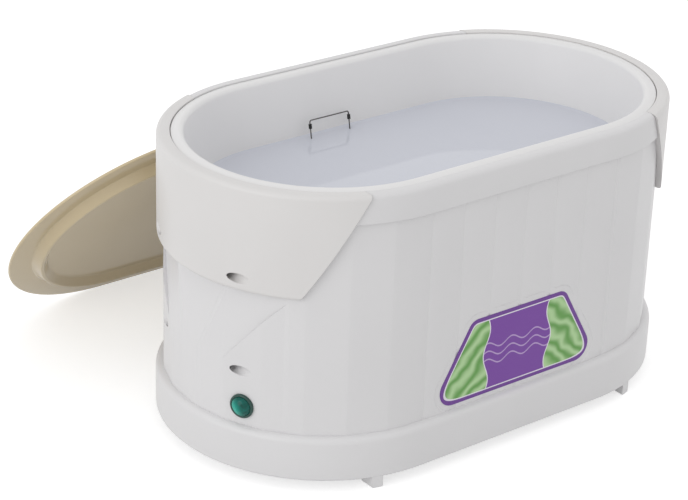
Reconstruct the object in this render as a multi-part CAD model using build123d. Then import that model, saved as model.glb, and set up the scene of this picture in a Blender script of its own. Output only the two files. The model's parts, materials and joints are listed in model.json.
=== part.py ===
from build123d import *
from math import atan2, copysign, cos, degrees, radians, sin, sqrt, tan
import os

# Paraffin bath in millimetres. X runs along the bath, its front faces -Y, +Z is up, and the
# origin is the centre of its footprint on the table. The pilot lamp is at the -X end.
# Every outline across the wall is given as (distance from an end's centre, height) pairs.

# Overall size
body_length = 400.0
body_width = 232.0
body_height = 220.0
rim_radius = body_width / 2
end_x = body_length / 2 - rim_radius

# Moulded housing
wall = 3.0
rim_proud = 2.0
wall_radius = rim_radius - rim_proud
wall_inside = wall_radius - wall
rim_band_height = 21.0
rim_top_width = 7.7
rim_round = 3.5
ledge_depth = 3.0
ledge_gap = 0.9
panels_on_side = 6
panels_on_end = 12
groove_width = 3.2
groove_depth = 0.6
housing_bottom = 14.0

# Base with its plinth band and feet
foot_height = 8.0
foot_length = 8.0
foot_width = 15.0
foot_x = 118.0
foot_inset = 0.3
plinth_top = 41.0
plinth_proud = 5.0
plinth_round = 4.2
base_wall = 3.0
base_chamfer = 1.2
lap_gap = 0.4
plinth_radius = wall_radius + plinth_proud

# Wrap-around hand collars at the two ends
collar_proud = 3.8
collar_gap = 0.3
collar_bottom = 144.0
collar_lower_round = 2.6
collar_edge_top = 43.5
collar_edge_slope = 0.516
collar_radius = wall_radius + collar_proud
seam = 0.3

# Faceted finger scoops below the collars
scoop_top = collar_bottom
scoop_bottom = 86.0
scoop_depth = 7.0
scoop_crease_top = 30.0
scoop_crease_bottom = 9.0
scoop_side_top = 43.0
scoop_side_bottom = 16.0

# Bores that hide the screws of the collars and of the base. They run along Y, so they come out
# of the round ends with long oval mouths.
bore_radius = 3.5
bore_wall = 1.2
bore_floor_y = 31.0
bore_floor_thickness = 2.6
collar_bore_inset = 10.5
collar_bore_rise = 9.6
base_bore_inset = 10.9
base_bore_height = 82.0
boss_length = 10.0
boss_width = 12.0
screw_radius = 1.5
screw_hole_radius = 1.75
screw_pilot_radius = 1.55
screw_head_radius = 2.9
screw_head_height = 2.0
screw_length = 10.0
post_depth = 8.0
post_width = 9.0
post_shift = 1.0
post_rise = 5.0
web_length = 14.0
web_height = 30.0

# Tank for the wax. Its mouth follows the width of the rim.
tank_thickness = 1.8
mouth_inset = 17.2
tank_mouth_radius = rim_radius - mouth_inset
tank_lean = 0.132
tank_floor = 85.0
tank_floor_round = 18.0
tank_lip_round = 3.6
flange_gap = 0.6
seal_thickness = 1.2
seal_inset = 0.4

# Heater, its strap and the insulation, wound round the tank
heater_low = 104.0
heater_high = 134.0
heater_thickness = 1.2
strap_height = 12.0
strap_thickness = 0.6
lug_depth = 4.0
lug_width = 2.4
lug_spacing = 8.4
bolt_radius = 1.2
bolt_length = 18.0
blanket_low = 96.0
blanket_high = 140.0
blanket_gap = 2.6
blanket_thickness = 5.0
blanket_opening = 24.0

# Controls under the tank
thermostat_x = -62.0
thermostat_radius = 9.0
thermostat_height = 9.0
neck_radius = 6.5
neck_length = 2.0
tab_thickness = 0.8
tab_width = 6.3
tab_length = 9.0
bracket_thickness = 1.0
bracket_width = 17.0
bracket_margin = 9.0
bracket_gap = 0.5
bracket_stud_radius = 2.2
bracket_stud_inset = 3.5
cutoff_x = -20.0
cutoff_radius = 2.6
cutoff_length = 18.0
saddle_thickness = 0.8
saddle_width = 9.0
saddle_length = 8.0
saddle_height = 5.6
earth_x = 62.0
earth_radius = 2.0
earth_length = 14.0
tag_radius = 4.4
tag_thickness = 0.8
tag_drop = 3.0
nut_radius = 4.0
nut_height = 3.2
terminal_x = 118.0
terminal_length = 46.0
terminal_width = 18.0
terminal_height = 15.0
terminal_way_count = 4
way_width = 5.2
way_depth = 6.0
entry_width = 3.6
entry_rise = 4.5

# Leads, which leave the terminals along the floor and then rise to the controls
lead_radius = 1.3
lead_gap = 0.2
thermostat_lead_turn = 60.0
thermostat_lead_rise = 20.0
thermostat_lead_front = 26.0
thermostat_lead_level = 40.0
cutoff_lead_turn = 40.0
cutoff_lead_front = 30.0
cutoff_lead_level = 32.0
earth_lead_turn = 95.0
earth_lead_side = 20.0
earth_lead_back = 8.0
earth_lead_level = 50.0

# Pilot lamp
lamp_angle = 22.5
lamp_shift = 5.0
lamp_height = 55.5
lamp_radius = 9.0
lamp_bezel = 2.0
bezel_bevel = 0.7
lens_seat = 0.9
lamp_barrel_radius = 6.3
lamp_barrel_length = 12.0
lamp_tab_width = 4.0
lamp_tab_length = 4.0
lamp_hole_radius = 6.5
lens_radius = 7.2
lens_height = 3.4
clip_radius = 9.0
clip_thickness = 3.0

# Appliance inlet at the end away from the lamp
inlet_height = 64.0
inlet_pad_width = 38.0
inlet_pad_height = 29.0
inlet_pad_proud = 0.6
inlet_pad_depth = 6.0
inlet_width = 27.0
inlet_tall = 20.0
inlet_gap = 0.2
inlet_body_depth = 22.0
inlet_rim = 2.2
inlet_rim_thickness = 2.0
inlet_corner = 3.0
socket_width = 24.0
socket_tall = 16.4
socket_depth = 17.0
socket_corner = 5.0
pin_width = 2.0
pin_tall = 4.0
pin_length = 11.0
pin_spacing = 7.0
pin_rise = 2.2

# Front label in its shallow recess
label_centre = 4.0
label_low = 44.5
label_high = 106.0
label_half_low = 78.5
label_half_high = 43.0
label_round_low = 12.0
label_round_high = 9.0
label_thickness = 0.3
label_recess = 0.7
label_border = 5.0

# Grille that lifts out of the tank, and its wire handles along the tank's wall
grille_inset = 9.0
grille_thickness = 3.0
grille_clearance = 6.0
grille_rim = 8.0
slot_width = 10.0
slot_pitch = 20.0
slot_rib = 6.0
grille_foot = 10.0
wire_radius = 0.6
handle_centre = -14.0
handle_half = 18.0
handle_foot_inset = 2.0
handle_step_out = 1.0
handle_step_up = 7.0
handle_wall_gap = 6.2
handle_top = 185.0
ferrule_radius = 1.3
ferrule_length = 3.6
ferrule_drop = 4.4

# Lid, leaning against the back of the housing. Its ring fits the tank's mouth.
lid_inset = 0.5
lid_thickness = 2.4
lid_ring_gap = 2.0
lid_ring_slope = 4.4
lid_ring_depth = 7.6
lid_crest_width = 2.4
lid_panel_slope = 5.7
lid_panel_depth = 2.2
lid_lip_step = 1.3
lid_panel_step = 1.0
lid_tilt = 51.4
lid_x = -28.5
lean_gap = 0.3

# Clearances that many pieces share, and how far a cutting shape reaches past what it cuts
fit_gap = 0.1
touch_gap = 0.02
overshoot = 10.0

# Round ends, round corners of a section, small round pieces and wires are made of this many flats
end_flat_count = 24
corner_flat_count = 2
rod_flat_count = 16
wire_flat_count = 8

# Sizes that follow from the ones above
band_bottom = body_height - rim_band_height
ledge_top = body_height - ledge_depth
ledge_under = ledge_top - wall
ledge_inside = tank_mouth_radius + tank_thickness + ledge_gap
rim_inside = rim_radius - rim_top_width
flange_radius = rim_inside - flange_gap
seal_inside = ledge_inside + seal_inset
seal_top = ledge_top + seal_thickness
base_floor = foot_height + base_wall
tank_under = tank_floor - tank_thickness
collar_bore_x = collar_radius - collar_bore_inset
collar_bore_height = collar_bottom + collar_bore_rise
base_bore_x = wall_radius - base_bore_inset
post_top = base_bore_height + post_rise
cup_radius = bore_radius + bore_wall
cup_end = bore_floor_y - bore_floor_thickness
tab_offset = thermostat_radius / 2
cutoff_z = tank_under - fit_gap - saddle_thickness - cutoff_radius
way_pitch = terminal_length / terminal_way_count
inlet_face_x = end_x + wall_radius + inlet_pad_proud
grille_low = tank_floor + grille_clearance
grille_radius = tank_mouth_radius - tank_lean * (body_height - tank_floor) - grille_inset
handle_foot_y = grille_radius - handle_foot_inset
handle_top_y = tank_mouth_radius - tank_lean * (body_height - handle_top) - handle_wall_gap
lid_radius = rim_radius - lid_inset
lid_ring_radius = tank_mouth_radius - lid_ring_gap
lid_crest_outside = lid_ring_radius - lid_ring_slope
lid_crest_inside = lid_crest_outside - lid_crest_width
lid_panel_radius = lid_crest_inside - lid_panel_slope


# Boxes that stand on the origin, hang below it, or point out of the wall along X
def standing_box(length, width, height):
    return Box(length, width, height, align=(Align.CENTER, Align.CENTER, Align.MIN))


def hanging_box(length, width, height):
    return Box(length, width, height, align=(Align.CENTER, Align.CENTER, Align.MAX))


def outward_box(length, width, height):
    return Box(length, width, height, align=(Align.MIN, Align.CENTER, Align.CENTER))


# The points of a closed outline, with each corner of a given radius cut into a few flats
def rounded(points, radii):
    corners = [Vector(distance, height) for distance, height in points]
    result = []
    for index, radius in enumerate(radii):
        corner = corners[index]
        if radius == 0:
            result.append(corner)
            continue
        before = (corners[index - 1] - corner).normalized()
        after = (corners[(index + 1) % len(corners)] - corner).normalized()
        half = radians(before.get_angle(after)) / 2
        centre = corner + (before + after).normalized() * (radius / sin(half))
        start = corner + before * (radius / tan(half)) - centre
        stop = corner + after * (radius / tan(half)) - centre
        turn = atan2(start.X * stop.Y - start.Y * stop.X, start.dot(stop))
        for step in range(corner_flat_count + 1):
            result.append(centre + start.rotate(Axis.Z, degrees(turn * step / corner_flat_count)))
    return result


# Corners of a right-hand end drawn as flats that touch a circle of the given radius
def flat_corners(radius):
    pitch = 180 / end_flat_count
    reach = radius / cos(radians(pitch / 2))
    angles = [radians(-90 + pitch * (step + 0.5)) for step in range(end_flat_count)]
    return [(end_x + reach * cos(angle), reach * sin(angle)) for angle in angles]


# The outline carried round the bath, mitred at each corner of the round ends
def around(points, radii):
    corners = rounded(points, radii)
    radius = corners[0].X
    face = make_face(Polyline(*[(0, -point.X, point.Y) for point in corners], close=True))
    path = Polyline((0, -radius, 0), *[(x, y, 0) for x, y in flat_corners(radius)], (0, radius, 0))
    half = sweep(face, path=path, transition=Transition.RIGHT)
    return half + half.rotate(Axis.Z, 180)


# A round-ended block between two heights
def block(radius, low, high):
    right = flat_corners(radius)
    corners = right + [(-x, -y) for x, y in right]
    return extrude(make_face(Polyline(*[(x, y, low) for x, y in corners], close=True)), high - low)


# A straight ring of the wall: inside radius, outside radius, bottom and top heights
def band(inside, outside, low, high):
    return block(outside, low, high) - block(inside, low - 1, high + 1)


# A rod of flats that stands on the origin, or hangs below it where its length is negative
def rod(radius, length, flats=rod_flat_count):
    return extrude(RegularPolygon(radius, flats), length)


# A dome of flats that stands on the origin
def dome(radius, height):
    ball = (radius**2 + height**2) / (2 * height)
    spread = atan2(radius, ball - height)
    levels = [spread * share for share in (1.0, 0.7, 0.4, 0.1)]
    rings = [(ball * sin(level), ball * cos(level) - ball + height) for level in levels]
    whole = rod(radius, 0.1)
    for (low_r, low), (high_r, high) in zip(rings, rings[1:]):
        lean = degrees(atan2((low_r - high_r) * cos(radians(180 / rod_flat_count)), high - low))
        foot = RegularPolygon(low_r, rod_flat_count).face().moved(Location((0, 0, low)))
        whole += extrude(foot, high - low, taper=lean)
    return whole


# A rod along Y, from one distance to another in front of the middle, at the +X end
def side_rod(radius, start, stop, x, z):
    return rod(radius, stop - start).rotate(Axis.X, 90).moved(Location((end_x + x, -start, z)))


# A square post along Y, placed as side_rod places a rod
def side_post(width, start, stop, x, z):
    post = Box(width, stop - start, width, align=(Align.CENTER, Align.MAX, Align.CENTER))
    return post.moved(Location((end_x + x, -start, z)))


# The same shape at the other end of the bath
def other_end(shape):
    return shape.rotate(Axis.Z, 180)


# A shape of the front right corner, with its copies at the other three corners
def at_corners(shape):
    pair = [shape, shape.mirror(Plane.XZ)]
    return pair + [other_end(piece) for piece in pair]


# Distance of the flat wall panels from an end's centre, along X, at a given Y
def wall_at(y):
    return sqrt(wall_radius**2 - y**2)


# Outside radius of the tank at a given height
def tank_outside(height):
    inside = tank_mouth_radius - tank_lean * (body_height - height)
    return inside + tank_thickness * sqrt(1 + tank_lean**2)


# Edges where the wall panels meet, in order round the bath, at the given radius
def panel_edges(radius):
    side_pitch = 2 * end_x / panels_on_side
    end_pitch = 180 / panels_on_end
    edges = []
    for turn in (1, -1):
        for step in range(panels_on_side):
            edges.append(Vector(turn * (-end_x + step * side_pitch), -turn * radius))
        for step in range(panels_on_end):
            angle = radians(-90 + step * end_pitch)
            edges.append(Vector(end_x + radius * cos(angle), radius * sin(angle)) * turn)
    return edges


# A plain panelled block between two heights
def panel_block(radius, low, high):
    face = make_face(Polyline(*panel_edges(radius), close=True))
    return extrude(face.moved(Location((0, 0, low))), high - low)


# Outline of the panelled wall, with a shallow groove along each panel edge
def wall_outline():
    edges = panel_edges(wall_radius)
    points = []
    for index, edge in enumerate(edges):
        before = (edges[index - 1] - edge).normalized()
        after = (edges[(index + 1) % len(edges)] - edge).normalized()
        core = Vector(max(-end_x, min(end_x, edge.X)), 0)
        inwards = (core - edge).normalized()
        points.append(edge + before * (groove_width / 2))
        points.append(edge + inwards * groove_depth)
        points.append(edge + after * (groove_width / 2))
    return make_face(Polyline(*points, close=True))


# Region beyond the slanting edges of a collar, at the +X end, grown by a margin
def collar_region(margin):
    top = body_height + overshoot
    low = collar_bottom - overshoot
    top_x = end_x + collar_edge_top - collar_edge_slope * overshoot - margin
    low_x = top_x + collar_edge_slope * (top - low)
    far_x = end_x + rim_radius + overshoot
    points = [(top_x, 0, top), (far_x, 0, top), (far_x, 0, low), (low_x, 0, low)]
    return extrude(make_face(Polyline(*points, close=True)), rim_radius + overshoot, both=True)


# Point on the round wall at an angle from the length of the bath, at the +X end
def wall_point(angle, height):
    turn = radians(angle)
    return Vector(end_x + wall_radius * cos(turn), wall_radius * sin(turn), height)


# Slab that lies beyond the plane through three points, deepened by an extra amount
def beyond(first, second, third, extra):
    out = (second - first).cross(third - first).normalized()
    if out.X < 0:
        out = -out
    slab = standing_box(body_length, body_length, rim_radius)
    return Plane(origin=first - out * extra, z_dir=out) * slab


# The hollow of a scoop at the +X end: a middle flat, and two flats on each side of it
def scoop_hollow(extra):
    top_x = end_x + wall_at(scoop_crease_top) - scoop_depth
    crease_high = Vector(top_x, scoop_crease_top, scoop_top)
    crease_low = Vector(end_x + wall_at(scoop_crease_bottom), scoop_crease_bottom, scoop_bottom)
    edge_high = wall_point(scoop_side_top, scoop_top)
    edge_low = wall_point(scoop_side_bottom, scoop_bottom)
    middle = beyond(crease_high, crease_low, Vector(crease_high.X, 0, crease_high.Z), extra)
    side = beyond(crease_high, crease_low, edge_low, extra)
    side += beyond(crease_high, edge_low, edge_high, extra)
    width = 2 * (edge_high.Y + extra)
    height = scoop_top - scoop_bottom + 3 * extra
    zone = Box(rim_radius, width, height, align=(Align.MIN, Align.CENTER, Align.MAX))
    zone = zone.moved(Location((edge_high.X - 2 * extra, 0, scoop_top + extra)))
    return (middle + side + side.mirror(Plane.XZ)) & zone


# Label outline on the front wall, grown by a border, from one depth to another
def label_plate(border, start, stop):
    slant = atan2(label_high - label_low, label_half_low - label_half_high)
    side_shift = border / sin(slant)
    lean = border / tan(slant)
    low = label_low - border
    high = label_high + border
    half_low = label_half_low + side_shift + lean
    half_high = label_half_high + side_shift - lean
    corners = [(-half_low, low), (half_low, low), (half_high, high), (-half_high, high)]
    radii = [label_round_low + border] * 2 + [label_round_high + border] * 2
    points = [(label_centre + x, 0, z) for x, z in corners]
    face = make_face(FilletPolyline(*points, radius=radii, close=True))
    face = face.moved(Location((0, -wall_radius - start, 0)))
    return extrude(face, stop - start, dir=(0, -1, 0))


# Four screws, one at the floor of each bore, their heads towards the mouths
def make_screws(x, z):
    head = rod(screw_head_radius, screw_head_height, wire_flat_count)
    screw = head + rod(screw_radius, -screw_length, wire_flat_count)
    screw = screw.rotate(Axis.X, 90).moved(Location((end_x + x, -bore_floor_y, z)))
    return Compound(children=at_corners(screw))


# Housing: panelled wall, rim band and the ledge that the tank hangs on
def make_housing():
    shell = extrude(wall_outline().moved(Location((0, 0, housing_bottom))), ledge_under - housing_bottom)
    shell -= panel_block(wall_inside, housing_bottom - 1, ledge_under)
    rim_overlap = wall_inside + wall / 2 - 0.1
    rim = around(
        [
            (rim_overlap, band_bottom),
            (rim_radius, band_bottom),
            (rim_radius, body_height),
            (rim_inside, body_height),
            (rim_inside, ledge_top),
            (ledge_inside, ledge_top),
            (ledge_inside, ledge_under),
            (rim_overlap, ledge_under),
        ],
        [0, 0, rim_round, 0, 0, 0, 0, 0],
    )
    shell += rim

    beyond_rim = rim_radius + overshoot
    seat = band(wall_radius, beyond_rim, collar_bottom, body_height + overshoot)
    seat += band(rim_inside - seam, beyond_rim, ledge_top, body_height + overshoot)
    seat &= collar_region(seam)
    for turn in (0, 180):
        shell -= seat.rotate(Axis.Z, turn)

    scoop = scoop_hollow(0)
    behind_wall = panel_block(wall_inside + 1, scoop_bottom - overshoot, scoop_top + overshoot)
    liner = (scoop_hollow(wall) & behind_wall) - scoop
    for turn in (0, 180):
        shell -= scoop.rotate(Axis.Z, turn)
        shell += liner.rotate(Axis.Z, turn)

    inside = panel_block(wall_inside + 1, housing_bottom, band_bottom)
    boss_end = cup_end - seam - boss_length
    boss = side_post(boss_width, boss_end, cup_end - seam, collar_bore_x, collar_bore_height)
    cup = side_post(2 * cup_radius, cup_end, rim_radius, base_bore_x, base_bore_height)
    passage = side_rod(cup_radius + lap_gap, cup_end - seam, rim_radius, collar_bore_x, collar_bore_height)
    pilot = side_rod(screw_pilot_radius, boss_end - 1, cup_end, collar_bore_x, collar_bore_height)
    bore = side_rod(bore_radius, bore_floor_y, rim_radius, base_bore_x, base_bore_height)
    shank = side_rod(screw_hole_radius, cup_end - 1, bore_floor_y + 1, base_bore_x, base_bore_height)
    for solid in at_corners((boss + cup) & inside):
        shell += solid
    for hollow in at_corners(passage + pilot + bore + shank):
        shell -= hollow

    shell -= lamp_place() * Cylinder(lamp_hole_radius, 2 * overshoot)

    pad_start = wall_inside - inlet_pad_depth
    pad_size = wall_radius + inlet_pad_proud - pad_start
    pad = outward_box(pad_size, inlet_pad_width, inlet_pad_height)
    pad = pad.moved(Location((end_x + pad_start, 0, inlet_height)))
    shell += pad - panel_block(wall_inside - 2, housing_bottom, scoop_bottom)
    opening = Box(4 * inlet_pad_depth, inlet_width, inlet_tall)
    shell -= opening.moved(Location((end_x + wall_radius, 0, inlet_height)))

    shell -= label_plate(label_border, -label_recess, overshoot)
    return shell


# Place on the flat wall panel where the lamp sits, its Z axis pointing out
def lamp_place():
    flat = wall_radius * cos(radians(90 / panels_on_end))
    out = Vector(-cos(radians(lamp_angle)), -sin(radians(lamp_angle)), 0)
    sideways = Vector(-out.Y, out.X, 0)
    centre = Vector(-end_x, 0, lamp_height) + out * flat + sideways * lamp_shift
    return Plane(origin=centre, z_dir=out, x_dir=(0, 0, 1))


# Base: floor, plinth band with a rounded shoulder, feet and the posts for the side screws
def make_base():
    lip = wall_radius + lap_gap
    middle = plinth_radius / 2
    base = around(
        [
            (middle, foot_height),
            (plinth_radius - base_chamfer, foot_height),
            (plinth_radius, foot_height + base_chamfer),
            (plinth_radius, plinth_top),
            (lip, plinth_top),
            (lip, base_floor),
            (middle, base_floor),
        ],
        [0, 0, 0, plinth_round, 0, 0, 0],
    )
    base += block(middle, foot_height, base_floor)
    edge = block(plinth_radius - foot_inset, 0, base_floor)
    post_low = base_floor - 1
    for x in (-foot_x, foot_x):
        outer_y = sqrt(plinth_radius**2 - (foot_x - end_x) ** 2)
        for side in (-1, 1):
            y = side * (outer_y - foot_width / 2 + 1)
            foot = standing_box(foot_length, foot_width, post_low)
            base += foot.moved(Location((x, y, 0))) & edge
    post_near = -(cup_end - seam)
    post = Box(post_width, post_depth, post_top - post_low, align=(Align.CENTER, Align.MIN, Align.MIN))
    post = post.moved(Location((end_x + base_bore_x - post_shift, post_near, post_low)))
    web = Box(wall, post_depth + web_length, web_height, align=(Align.CENTER, Align.MIN, Align.MIN))
    web = web.moved(Location((end_x + base_bore_x, post_near, post_low)))
    pilot_end = cup_end - seam - post_depth
    pilot = side_rod(screw_pilot_radius, pilot_end - 1, cup_end, base_bore_x, base_bore_height)
    for solid in at_corners(post + web - pilot):
        base += solid
    return base


# Collar at the +X end: a curved apron that hooks over the rim and covers the screw cups
def make_collar():
    inner = wall_radius + collar_gap
    ring = around(
        [
            (inner, collar_bottom),
            (collar_radius, collar_bottom),
            (collar_radius, body_height),
            (rim_inside, body_height),
            (rim_inside, ledge_top + fit_gap),
            (inner, ledge_top + fit_gap),
        ],
        [0, collar_lower_round, rim_round, 0, 0, 0],
    )
    collar = ring & collar_region(0)
    within = block(collar_radius - 1, collar_bottom, body_height)
    cup = side_rod(cup_radius, cup_end, rim_radius, collar_bore_x, collar_bore_height) & within
    bore = side_rod(bore_radius, bore_floor_y, rim_radius, collar_bore_x, collar_bore_height)
    shank = side_rod(screw_hole_radius, cup_end - 1, bore_floor_y + 1, collar_bore_x, collar_bore_height)
    for solid, hollow in ((cup, bore + shank), (cup.mirror(Plane.XZ), (bore + shank).mirror(Plane.XZ))):
        collar = collar + solid - hollow
    return collar


# Tank: rolled lip, leaning wall, rounded floor edge and the flange that hangs on the ledge
def make_tank():
    inside_low = tank_mouth_radius - tank_lean * (body_height - tank_floor)
    outside_low = tank_outside(tank_under)
    flange_under = body_height - tank_thickness
    middle = inside_low - 1.5 * tank_floor_round
    points = [
        (middle, tank_floor),
        (inside_low, tank_floor),
        (tank_mouth_radius, body_height),
        (flange_radius, body_height),
        (flange_radius, flange_under),
        (tank_outside(flange_under), flange_under),
        (outside_low, tank_under),
        (middle, tank_under),
    ]
    bottom_round = tank_floor_round + tank_thickness
    wall_ring = around(points, [0, tank_floor_round, tank_lip_round, 0, 0, 0, bottom_round, 0])
    return wall_ring + block(middle, tank_under, tank_floor)


# A strip that follows the tank's leaning wall between two heights
def wrap(low, high, gap, thickness):
    low_r = tank_outside(low) + gap
    high_r = tank_outside(high) + gap
    points = [(low_r, low), (low_r + thickness, low), (high_r + thickness, high), (high_r, high)]
    return around(points, [0] * 4)


# Strap round the heater, drawn tight by a screw through two lugs at the front
def make_strap():
    middle = (heater_low + heater_high) / 2
    low = middle - strap_height / 2
    high = middle + strap_height / 2
    start = heater_thickness + 2 * fit_gap
    strap = wrap(low, high, start, strap_thickness)
    face_y = tank_outside(middle) + start
    slit = Box(lug_spacing - lug_width, 3 * lug_depth, 2 * strap_height)
    strap -= slit.moved(Location((0, -face_y, middle)))
    thick = wrap(low + strap_thickness, high - strap_thickness, start, lug_depth)
    for side in (-1, 1):
        lug = Box(lug_width, 3 * lug_depth, strap_height)
        strap += thick & lug.moved(Location((side * lug_spacing / 2, -face_y, middle)))
    bolt = rod(bolt_radius, bolt_length, wire_flat_count).rotate(Axis.Y, 90)
    return strap + bolt.moved(Location((-bolt_length / 2, -face_y - lug_depth / 2, middle)))


# Insulation round the heater, with a gap at the front for the lugs of the strap
def make_blanket():
    blanket = wrap(blanket_low, blanket_high, blanket_gap, blanket_thickness)
    middle = (blanket_low + blanket_high) / 2
    gap = Box(blanket_opening, 6 * blanket_thickness, 2 * (blanket_high - blanket_low))
    return blanket - gap.moved(Location((0, -tank_outside(middle) - blanket_thickness, middle)))


# Disc thermostat pressed against the underside of the tank
def make_thermostat():
    top = tank_under - fit_gap
    shape = rod(thermostat_radius, -thermostat_height).moved(Location((0, 0, top)))
    shape += rod(neck_radius, -neck_length).moved(Location((0, 0, top - thermostat_height)))
    for side in (-1, 1):
        tab = hanging_box(tab_thickness, tab_width, tab_length)
        shape += tab.moved(Location((side * tab_offset, 0, top - thermostat_height - neck_length / 2)))
    return shape.moved(Location((thermostat_x, 0, 0)))


# Bracket that holds the thermostat up: a bridge with a window, and two studs into the tank
def make_bracket():
    top = tank_under - fit_gap
    under = top - thermostat_height - fit_gap
    reach = thermostat_radius + bracket_margin
    bridge = hanging_box(2 * reach, bracket_width, bracket_thickness)
    bridge = bridge.moved(Location((0, 0, under)))
    window = rod(neck_radius + bracket_gap, -4 * bracket_thickness)
    bridge -= window.moved(Location((0, 0, under + 2 * bracket_thickness)))
    for side in (-1, 1):
        leg = rod(bracket_stud_radius, under - bracket_thickness - top, wire_flat_count)
        bridge += leg.moved(Location((side * (reach - bracket_stud_inset), 0, top)))
    return bridge.moved(Location((thermostat_x, 0, 0)))


# Thermal cut-off in its sleeve, with the saddle that clips it to the tank
def make_cutoff():
    body = rod(cutoff_radius, cutoff_length, wire_flat_count).rotate(Axis.X, 90)
    body = body.moved(Location((0, cutoff_length / 2, 0)))
    saddle = hanging_box(saddle_width, saddle_length, saddle_height)
    saddle = saddle.moved(Location((0, 0, cutoff_radius + saddle_thickness)))
    return (body + saddle).moved(Location((cutoff_x, 0, cutoff_z)))


# Earth stud under the tank with its nut and ring tag
def make_earth():
    stud = rod(earth_radius, -earth_length, wire_flat_count)
    tag = rod(tag_radius, -tag_thickness, wire_flat_count).moved(Location((0, 0, -tag_drop)))
    nut = rod(nut_radius, -nut_height, 6).moved(Location((0, 0, -tag_drop - tag_thickness)))
    return (stud + tag + nut).moved(Location((earth_x, 0, tank_under - fit_gap)))


# Distance of a way of the terminal block from the middle, along Y
def way_y(way):
    return (way - (terminal_way_count - 1) / 2) * way_pitch


# Terminal block on the base floor, with a screw well and an entry for each way
def make_terminals():
    strip = standing_box(terminal_width, terminal_length, terminal_height)
    for way in range(terminal_way_count):
        well = hanging_box(way_width, way_width, way_depth)
        strip -= well.moved(Location((0, way_y(way), terminal_height)))
        entry = Box(2 * terminal_width, entry_width, entry_width)
        strip -= entry.moved(Location((0, way_y(way), entry_rise)))
    return strip.moved(Location((terminal_x, 0, base_floor + fit_gap)))


# A wire along straight runs, mitred where they meet
def bent_rod(points, radius):
    route = Polyline(*points)
    start = Plane(origin=route @ 0, z_dir=route % 0)
    return sweep(start * RegularPolygon(radius, wire_flat_count), path=route, transition=Transition.RIGHT)


# Leads between the terminals, the thermostat, the cut-off and the earth stud
def make_wiring():
    start_x = terminal_x - terminal_width / 2 - lead_gap
    start_z = base_floor + fit_gap + entry_rise
    tab_x = thermostat_x + tab_offset
    tab_z = tank_under - fit_gap - thermostat_height - neck_length / 2 - tab_length - lead_gap
    thermostat_route = [
        (start_x, way_y(0), start_z),
        (thermostat_lead_turn, way_y(0), start_z),
        (thermostat_lead_rise, -thermostat_lead_front, thermostat_lead_level),
        (tab_x, -thermostat_lead_front, thermostat_lead_level),
        (tab_x, 0, tab_z - tab_length),
        (tab_x, 0, tab_z),
    ]
    cutoff_route = [
        (start_x, way_y(1), start_z),
        (cutoff_lead_turn, way_y(1), start_z),
        (cutoff_x, -cutoff_lead_front, cutoff_lead_level),
        (cutoff_x, -cutoff_lead_front, cutoff_z),
        (cutoff_x, -cutoff_length / 2 - lead_gap, cutoff_z),
    ]
    earth_route = [
        (start_x, way_y(3), start_z),
        (earth_lead_turn, way_y(3), start_z),
        (earth_x + earth_lead_side, earth_lead_back, earth_lead_level),
        (earth_x + tag_radius + lead_radius, 0, tank_under - tag_drop),
    ]
    routes = [thermostat_route, cutoff_route, earth_route]
    return Compound(children=[bent_rod(route, lead_radius) for route in routes])


# Pilot lamp: bezel and barrel, the domed lens in front, the spring nut behind the wall
def make_lamp_body():
    body = rod(lamp_radius, lamp_bezel - bezel_bevel)
    bevelled = RegularPolygon(lamp_radius, rod_flat_count).face()
    body += extrude(bevelled.moved(Location((0, 0, lamp_bezel - bezel_bevel))), bezel_bevel, taper=45)
    body += rod(lamp_barrel_radius, -lamp_barrel_length)
    body -= rod(lens_radius + fit_gap, lamp_bezel).moved(Location((0, 0, lamp_bezel - lens_seat)))
    for side in (-1, 1):
        tab = hanging_box(tab_thickness, lamp_tab_width, lamp_tab_length)
        body += tab.moved(Location((0, side * lamp_barrel_radius / 2, -lamp_barrel_length)))
    return lamp_place() * body


def make_lens():
    skirt = rod(lens_radius, lens_seat).moved(Location((0, 0, lamp_bezel - lens_seat + touch_gap)))
    return lamp_place() * (skirt + dome(lens_radius, lens_height).moved(Location((0, 0, lamp_bezel))))


def make_clip():
    ring = rod(clip_radius, -clip_thickness)
    ring -= rod(lamp_barrel_radius + fit_gap, -clip_thickness)
    behind = wall * cos(radians(90 / panels_on_end)) + seam
    return lamp_place() * ring.moved(Location((0, 0, -behind)))


# Inlet: a framed socket through the wall pad, and its three flat pins
def make_inlet():
    frame_width = inlet_width + 2 * inlet_rim
    frame_tall = inlet_tall + 2 * inlet_rim
    frame = outward_box(inlet_rim_thickness, frame_width, frame_tall)
    frame = fillet(frame.edges().filter_by(Axis.X), inlet_corner)
    body = outward_box(inlet_body_depth, inlet_width - 2 * inlet_gap, inlet_tall - 2 * inlet_gap)
    body = body.moved(Location((-inlet_body_depth, 0, 0)))
    mouth = Box(2 * socket_depth, socket_width, socket_tall)
    mouth = chamfer(mouth.edges().filter_by(Axis.X).group_by(Axis.Z)[-1], socket_corner)
    shape = frame + body - mouth.moved(Location((inlet_rim_thickness, 0, 0)))
    return shape.moved(Location((inlet_face_x + fit_gap, 0, inlet_height)))


def make_pins():
    bottom_x = inlet_face_x + fit_gap + inlet_rim_thickness - socket_depth + touch_gap
    pins = []
    for y, z in ((-pin_spacing, -pin_rise), (pin_spacing, -pin_rise), (0, pin_rise)):
        blade = outward_box(pin_length, pin_width, pin_tall)
        pins.append(blade.moved(Location((bottom_x, y, inlet_height + z))))
    return Compound(children=pins)


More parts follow.
